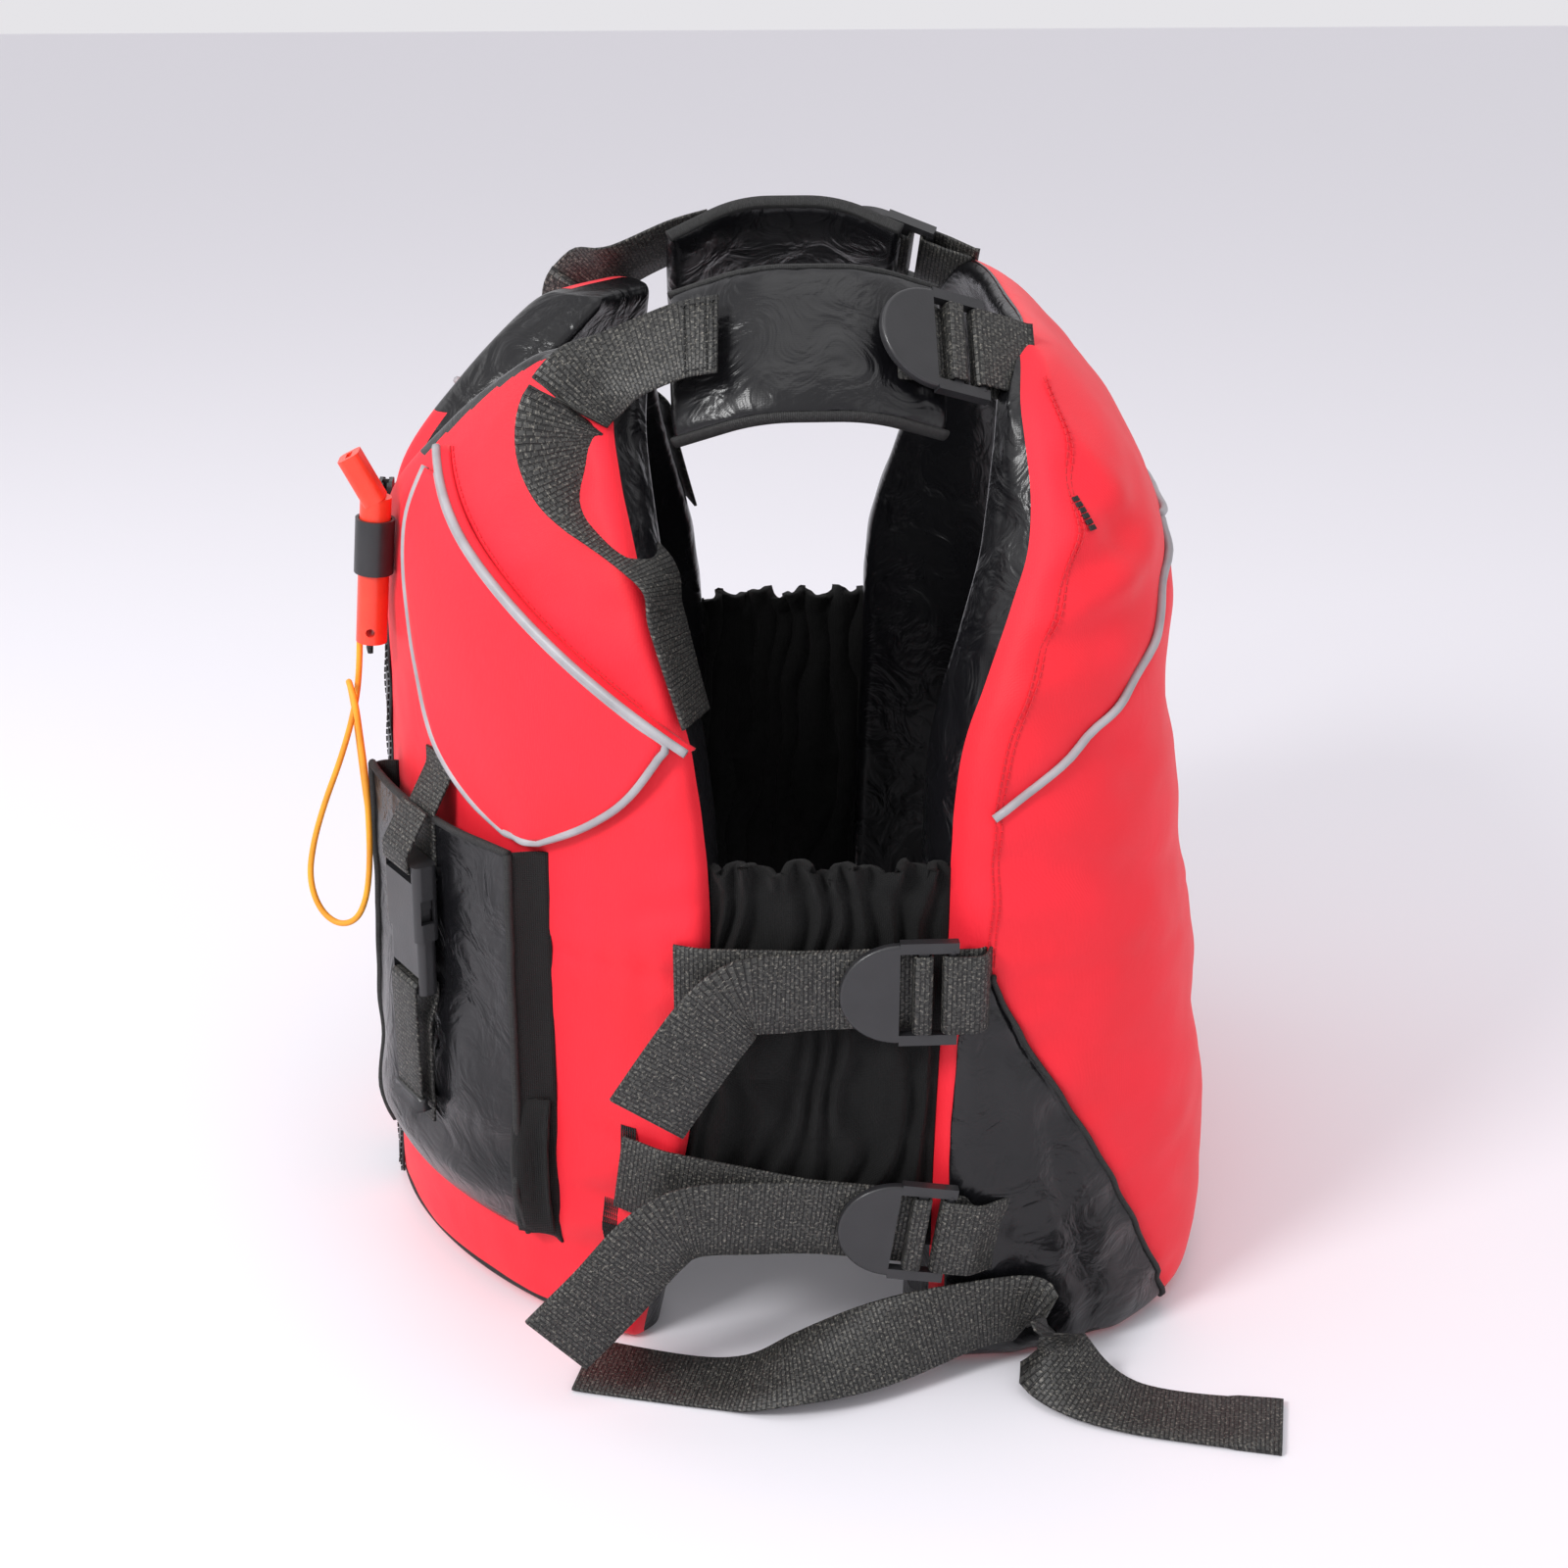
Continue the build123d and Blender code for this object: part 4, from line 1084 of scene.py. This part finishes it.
def shoulderPad(side, mirror):
    verts, faces, faceSlots = [], [], []
    ringCount = 36
    for i, p in enumerate(padLine):
        ahead = (padLine[min(i + 1, len(padLine) - 1)] - padLine[max(i - 1, 0)]).normalized()
        up = Vector((-ahead.y, ahead.x))
        endFall = fall(min(i, len(padLine) - 1 - i) * 3.0, 7.0) / 7.0
        for k in range(ringCount):
            turn = 2 * math.pi * k / ringCount
            c, s = math.cos(turn), math.sin(turn)
            h = math.copysign(abs(c) ** 0.45, c) * shoulder["padWidth"] / 2
            thick = math.copysign(abs(s) ** 0.8, s) * shoulder["padThickness"] / 2 * (1 - 0.6 * endFall)
            thick += 0.5 * noise.noise(Vector((i * 0.3, k * 0.4, 3.3))) * abs(s)
            thick += 0.35 * math.sin(i * 1.1) * abs(c) ** 6
            spot = p + up * thick
            point = shoulderPlace(spot.x, spot.y, h)
            verts.append((point.x * mirror, point.y, point.z))
    for i in range(len(padLine) - 1):
        for k in range(ringCount):
            a, b = i * ringCount + k, i * ringCount + (k + 1) % ringCount
            faces.append((a, b, b + ringCount, a + ringCount))
    faces.append(tuple(range(ringCount)))
    faces.append(tuple(range((len(padLine) - 1) * ringCount, len(padLine) * ringCount)))
    pad = finishMesh(f"padded shoulder {side}", verts, faces, ["blackCoated"])
    recalc(pad, 0)
    subdivide(pad)
    ends = shoulderBend(mirror)
    attach(pad, ("back", f"front_{side}"), (f"shoulder_pad_{side}",), ends)
    for label, h in (("outer", -36.2), ("inner", 36.2)):
        line = [shoulderPlace(p.x, p.y, h) for p in padLine]
        binding = tube(f"pad {label} binding {side}", line, 3.4, "binding", 10, 3.0, mirror, 0.55)
        attach(binding, ("back", f"front_{side}"), (), ends)


def shoulderLockWebbing(side, mirror):
    sewn = lockSpot(-24, -2)
    bendAt = (lockLength - 16, loadRun)
    rear, ahead = slotFront - barGap, slotFront + lock["middle"] + barGap
    top, bend = lock["thickness"] / 2 + barGap, webbing["thickness"] * 0.8
    points = [sewn, bendAt, (rear, loadRun), (rear, top), (ahead, top), (ahead, underTab),
              (lockLength - 28, underTab)]
    line = [lockPlace(p.x, p.y) for p in roundedLine(points, [12, bend, bend, bend, bend])]
    stations = [(shoulderPlace(u, w), acrossShoulder) for u, w in line]
    strap = belt(f"shoulder lock webbing {side}", stations, mirror)
    attach(strap, ("back", f"front_{side}"), (f"shoulder_strap_{side}",),
           shoulderBend(mirror))
    loop = [(-24, -wrapRadius + 1), (-10, -wrapRadius), (wrapRadius, -wrapRadius), (wrapRadius, wrapRadius),
            (-10, wrapRadius), (-26, wrapRadius - 1)]
    line = [lockPlace(p.x, p.y) for p in roundedLine(loop, [8, wrapRadius - 0.1, wrapRadius - 0.1, 8])]
    stations = [(shoulderPlace(u, w), acrossShoulder) for u, w in line]
    anchor = belt(f"shoulder anchor loop {side}", stations, mirror)
    attach(anchor, "back", (f"shoulder_anchor_{side}",))


def frontShoulderWebbing(side, mirror):
    # it comes off the pad, turns over the top of the panel and runs down its edge face
    down = acrossShoulder * -1
    overEdge = [
        ((112, -78 + shiftY, 455), (0.66, -0.1, -0.74)),
        ((120, -93 + shiftY, 447), (0.5, -0.25, -0.82)),
        ((128, -101 + shiftY, 434), (0.42, -0.7, -0.5)),
        ((133, -99 + shiftY, 418), (0.35, -0.92, -0.05)),
        ((140, -87 + shiftY, 399), (0.6, -0.78, 0.15)),
    ]
    stations = [(shoulderPlace(38, 6.6), down), (shoulderPlace(56, 0.5), down)]
    stations += [(Vector(place) * mm, across) for place, across in overEdge]
    for z in (378, 360, 340, 318):
        angle = frontArmhole(z)
        turn = math.radians(angle)
        aside = math.degrees((onFace + 1.6) / (formRadius(z, angle) - 16))
        stations.append((formPoint(z, angle + aside, -15), (math.sin(turn), -math.cos(turn), 0)))
    run = belt(f"front shoulder webbing {side}", stations, mirror)
    rows = [[shoulderPlace(u, 7.9 - 0.33 * (u - 38), h) for h in (-16, 0, 16)] for u in (40, 43, 52)]
    rows += [[shoulderPlace(u, 7.9 - 0.33 * (u - 38), h) for u in (40, 46, 52)] for h in (-16, 16)]
    box = sew(f"shoulder box stitches {side}", rows, "blackThread", 3.4, 2.6, 0.4, mirror)
    attach(box, ("back", f"front_{side}"), (), shoulderBend(mirror))
    attach(run, f"front_{side}", (f"shoulder_front_webbing_{side}",))


for side, mirror in sides:
    shoulderPad(side, mirror)
    shoulderLockWebbing(side, mirror)
    frontShoulderWebbing(side, mirror)
print("shoulders made")

# zip: teeth stay as the CAD has them, with fabric tape behind and a cord puller on the slider
zipper = {"foot": 11.0, "top": 372.0, "proud": 0.4, "tapeWidth": 5.6, "facingFrom": 7.2, "facingTo": 24}
zipFoot = formPoint(zipper["foot"], 0, zipper["proud"])
zipTop = formPoint(zipper["top"], 0, zipper["proud"])
zipUp = (zipTop - zipFoot).normalized()
zipOut = Vector((0, -zipUp.z, zipUp.y))
nodes = frame["nodes"]


def zipSide(side, mirror):
    stations = []
    for i in range(40):
        point = zipFoot.lerp(zipTop, i / 39) - zipOut * 0.4 * mm
        stations.append((point + Vector((6.4, 0, 0)) * mm, (1, 0, 0)))
    tape = strip(f"zip woven tape {side}", stations, zipper["tapeWidth"], 1.0, "blackElastic", (0, 0), 9.0,
                 mirror)
    attach(tape, f"front_{side}", (f"zip_tape_{side}",))
    # a coated facing carries the zip and runs up to the neck edge
    grid = []
    for j in range(90):
        z = 6 + 362 * j / 89
        first, last = angleAt(zipper["facingFrom"], z), angleAt(zipper["facingTo"], z)
        row = []
        for i in range(7):
            out = 1.4 + 0.9 * math.sin(math.pi * i / 6) + 0.4 * math.sin(z / 5.0 + i)
            row.append(formPoint(z, first + (last - first) * i / 6, out))
        grid.append(row)
    facing = slab(f"zip facing {side}", grid, 1.2, ["blackCoated"], None, mirror)
    attach(facing, f"front_{side}")
    proud = Vector((0, -0.0004, 0))
    lines = [[row[column] + proud for row in grid] for column in (2, 5)]
    row = sew(f"zip stitches {side}", lines, "blackThread", 3.6, 2.6, 0.4, mirror)
    attach(row, f"front_{side}")


for side, mirror in sides:
    zipSide(side, mirror)
pullTop = Vector((0, -199.6, 362.0)) * mm
hanging = [((0, -0.6, -4), (1, 0, 0)), ((0, -4, -18), (1, 0.1, 0)),
           ((0.5, -7, -44), (1, 0.3, 0)), ((0, -9, -72), (1, 0.2, 0))]
stations = [(pullTop + Vector(place) * mm, across) for place, across in hanging]
tab = strip("zip puller tab", stations, 9.0, 2.6, "binding", (0, 0), 3.0)
attach(tab, "zip_pull")
print("zip made")

# whistle and keeper keep their CAD shapes; the lanyard is a soft cord
cordRoute = [
    (47, -201.8, 312), (47, -203, 296), (46, -207, 276), (45, -215, 252),
    (45, -225, 228), (45, -232, 207), (47, -235, 189), (50, -231, 174),
    (54, -222, 167), (58, -212, 171), (60, -206, 184), (61, -203, 203),
    (61, -202, 224), (60, -202, 247), (61.5, -203, 270), (61.6, -204, 286.3),
    (55.5, -206.5, 292.3), (47, -208.5, 292.3), (40.9, -208.5, 286.3), (41, -207, 270),
    (42, -206, 250), (42, -205, 230), (40, -204, 210), (36, -203, 193), (31, -200, 178),
    (27, -197, 167),
]
line = bpy.data.curves.new("whistle lanyard", "CURVE")
line.dimensions = "3D"
path = line.splines.new("NURBS")
path.points.add(len(cordRoute) - 1)
for point, place in zip(path.points, cordRoute):
    point.co = (place[0] * mm, (place[1] + form["originShift"]) * mm, place[2] * mm, 1)
path.order_u = 3
path.use_endpoint_u = True
path.resolution_u = 10
line.bevel_depth = 0.0015
line.bevel_resolution = 5
line.use_fill_caps = True
line.materials.append(materials["cordPlain"])
lanyard = bpy.data.objects.new("whistle_lanyard", line)
bpy.context.collection.objects.link(lanyard)
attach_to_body(lanyard, "front_left")
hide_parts("whistle_cord")
print("lanyard made")

# pocket clip webbing
clip = {"angle": 31.0, "top": 228.0, "length": 66.0, "thickness": 12.0, "bar": 3.0}
clipOut = 10.0 + 1.6 + clip["thickness"] / 2 + 2.6
clipHigh = formPoint(clip["top"], clip["angle"], clipOut)
clipLow = formPoint(clip["top"] - clip["length"], clip["angle"], clipOut)
clipDown = (clipLow - clipHigh).normalized()
clipAcross = Vector((math.cos(math.radians(clip["angle"])), math.sin(math.radians(clip["angle"])), 0))
clipAway = clipAcross.cross(clipDown)
if clipAway.dot(outward(clip["angle"])) < 0:
    clipAway = -clipAway


def clipPlace(out, down):
    return clipHigh + clipAway * out * mm + clipDown * down * mm


clipWrap = clip["thickness"] / 2 + barGap
chest = -clipOut + webbing["thickness"] / 2 + 2.6
upperLoop = [(chest, -47), (chest, -39), (-clipWrap, -22), (-clipWrap, 2.5 + barGap),
             (clipWrap, 2.5 + barGap), (clipWrap, -5), (-clipWrap + 3.4, -24)]
plugBar = clip["length"] - clip["bar"] - barGap
plugWrap = (clip["thickness"] - 3) / 2 + barGap
pocketFace = -clipOut + 10 + 1.6 + webbing["thickness"] / 2 + 6.5
lowerLoop = [(pocketFace, clip["length"] + 70), (pocketFace, clip["length"] + 18),
             (-plugWrap, clip["length"] + 4), (-plugWrap, plugBar), (plugWrap, plugBar),
             (plugWrap, clip["length"] + 8), (plugWrap - 1, clip["length"] + 60)]
clipLoops = (("upper", upperLoop, [8, 8, 2.2, 2.2, 5]), ("lower", lowerLoop, [10, 6, 2.2, 2.2, 20]))


def pocketClip(side, mirror):
    for label, loop, radii in clipLoops:
        stations = [(clipPlace(p.x, p.y), clipAcross) for p in roundedLine(loop, radii)]
        run = belt(f"pocket clip {label} webbing {side}", stations, mirror, (0, 0), 2.5, webbing["narrow"])
        bodies, bend = f"front_{side}", None
        if label == "lower":        # the tail lies on the pocket and the loop round the plug; both are baked in place with no parent
            bodies = (f"front_{side}", f"clip_plug_{side}")
            bend = [clipPlace(0, clip["length"] + down) for down in (62, 8)]
            bend = [(p.x * mirror, p.y, p.z) for p in bend]
        attach(run, bodies, (f"clip_{label}_webbing_{side}",), bend)
    stop = [(clipPlace(plugWrap - 1, clip["length"] + 56 + t), clipAcross) for t in (0, 3, 6)]
    end = strip(f"clip tail stop {side}", stop, 28.0, 4.2, "blackPlain", (0, 0), 2.0, mirror)
    attach(end, f"front_{side}")


for side, mirror in sides:
    pocketClip(side, mirror)
print("pocket clips made")


# diagonal piping over the back
def backPiping(side, mirror):
    heights = [281 + 98 * i / 30 for i in range(31)]
    line = [formPoint(z, pipingAngle(z), backPuff(z, pipingAngle(z)) + 2.4) for z in heights]
    piping = tube(f"back piping {side}", line, 2.0, "silverPiping", 8, 4.0, mirror)
    attach(piping, "back")


for side, mirror in sides:
    backPiping(side, mirror)
yoke = []
for i in range(31):
    angle = 152 + 56 * i / 30
    yoke.append(formPoint(380, angle, backPuff(379.9, angle) + 1.6))
piping = tube("back yoke piping", yoke, 2.0, "silverPiping")
attach(piping, "back")


# binding along the hems
def frontHem(side, mirror):
    hemLine = []
    for i in range(40):
        angle = frontEdge(6) + 3 + (frontArmhole(6) - frontEdge(6) - 6) * i / 39
        hemLine.append(formPoint(6.5, angle, -2.0))
    hem = tube(f"front hem binding {side}", hemLine, 2.6, "binding", 8, 5.0, mirror, 0.7)
    attach(hem, f"front_{side}")


for side, mirror in sides:
    frontHem(side, mirror)
hemLine = [formPoint(6.5, gussetSeam(6) - 20 + (400 - 2 * gussetSeam(6)) * i / 70, -2.4) for i in range(71)]
hem = tube("back hem binding", hemLine, 2.8, "binding", 8, 5.0, 1, 0.7)
attach(hem, "back")


# bartacks and seam stitching
def stitching(side, mirror):
    lines = []
    for z0, z1 in ((52, 78), (96, 120)):
        for k in range(7):
            angle = frontArmhole(z0) - 6 - 0.35 * k
            lines.append([formPoint(z, angle, frontPuff(z, angle) + 0.5) for z in (z0, (z0 + z1) / 2, z1)])
    tack = sew(f"front bartacks {side}", lines, "blackThread", 2.4, 2.2, 0.5, mirror)
    attach(tack, f"front_{side}")
    lines = []
    for k in range(4):
        angle = backArmhole(412) + 3.4 + 0.3 * k
        lines.append([formPoint(z, angle, backPuff(z, angle) + 0.5) for z in (398, 403, 408)])
    tack = sew(f"back shoulder tacks {side}", lines, "blackThread", 2.4, 2.2, 0.5, mirror)
    attach(tack, "back")
    lines = []
    for inset in (4.0, 6.5):
        run = []
        for i in range(70):
            z = 212 + 238 * i / 69
            angle = backArmhole(z) + math.degrees(inset / formRadius(z, backArmhole(z))) + 2.2
            run.append(formPoint(z, angle, backPuff(z, angle) + 0.3))
        lines.append(run)
    tack = sew(f"back edge stitches {side}", lines, "redThread", 3.4, 2.6, 0.4, mirror)
    attach(tack, "back")


for side, mirror in sides:
    stitching(side, mirror)
print("stitching made")

# finishes on the pieces that keep their CAD shapes
for name, node in nodes.items():
    finish = "blackPlain"
    if name.startswith("whistle") and "keeper" not in name:
        finish = "orangePlastic"
    elif name in ("zip_teeth_left", "zip_teeth_right"):
        finish = "darkMetal"
    if node.type == "MESH" and not node.hide_render:
        node.data.materials.clear()
        node.data.materials.append(materials[finish])
        for polygon in node.data.polygons:
            polygon.material_index = 0

# floor and soft light from the front left
floorLevel = -0.0005
tableFinish = newMaterial("paleTable", (0.82, 0.805, 0.85), 0.6)[0]
camera = {"azimuth": 87.0, "elevation": 23.3, "distance": 1.195, "target": (0, -0.0049, 0.214), "lens": 54.0}
turn, rise = math.radians(camera["azimuth"]), math.radians(camera["elevation"])
away = Vector((math.sin(turn) * math.cos(rise), -math.cos(turn) * math.cos(rise), math.sin(rise)))
target = Vector(camera["target"])
view = bpy.data.cameras.new("camera")
view.lens = camera["lens"]
view.sensor_width = 36.0
viewer = bpy.data.objects.new("camera", view)
viewer.location = target + away * camera["distance"]
viewer.rotation_euler = (-away).to_track_quat("-Z", "Y").to_euler()
bpy.context.collection.objects.link(viewer)
bpy.context.scene.camera = viewer
view.clip_start = 0.02


def plane(name, corners, material):
    mesh = bpy.data.meshes.new(name)
    mesh.from_pydata(corners, [], [(0, 1, 2, 3)])
    mesh.materials.append(material)
    piece = bpy.data.objects.new(name, mesh)
    bpy.context.collection.objects.link(piece)
    return piece


corners = ((-6, -6), (6, -6), (6, 6), (-6, 6))
plane("table", [(x, y, floorLevel) for x, y in corners], tableFinish)


def light(name, place, aim, size, power, colour=(1, 1, 1)):
    lamp = bpy.data.lights.new(name, "AREA")
    lamp.shape = "DISK"
    lamp.size = size
    lamp.energy = power
    lamp.color = colour
    piece = bpy.data.objects.new(name, lamp)
    piece.location = place
    piece.rotation_euler = (Vector(aim) - Vector(place)).to_track_quat("-Z", "Y").to_euler()
    bpy.context.collection.objects.link(piece)


light("key", (1.1, -1.2, 1.5), (0, 0, 0.25), 0.6, 26)
light("fill", (1.6, 1.3, 1.0), (0, 0, 0.2), 1.6, 3.5)
light("top", (0.1, 0.1, 2.2), (0, 0, 0.2), 1.6, 6)
light("far side", (-0.5, -1.6, 1.2), (0, 0, 0.3), 1.2, 4)
world = bpy.data.worlds.new("world")
world.use_nodes = True
world.node_tree.nodes["Background"].inputs["Color"].default_value = (0.93, 0.92, 0.95, 1)
world.node_tree.nodes["Background"].inputs["Strength"].default_value = 0.85
bpy.context.scene.world = world
bpy.context.scene.view_settings.view_transform = "Standard"

print("camera and lights set")
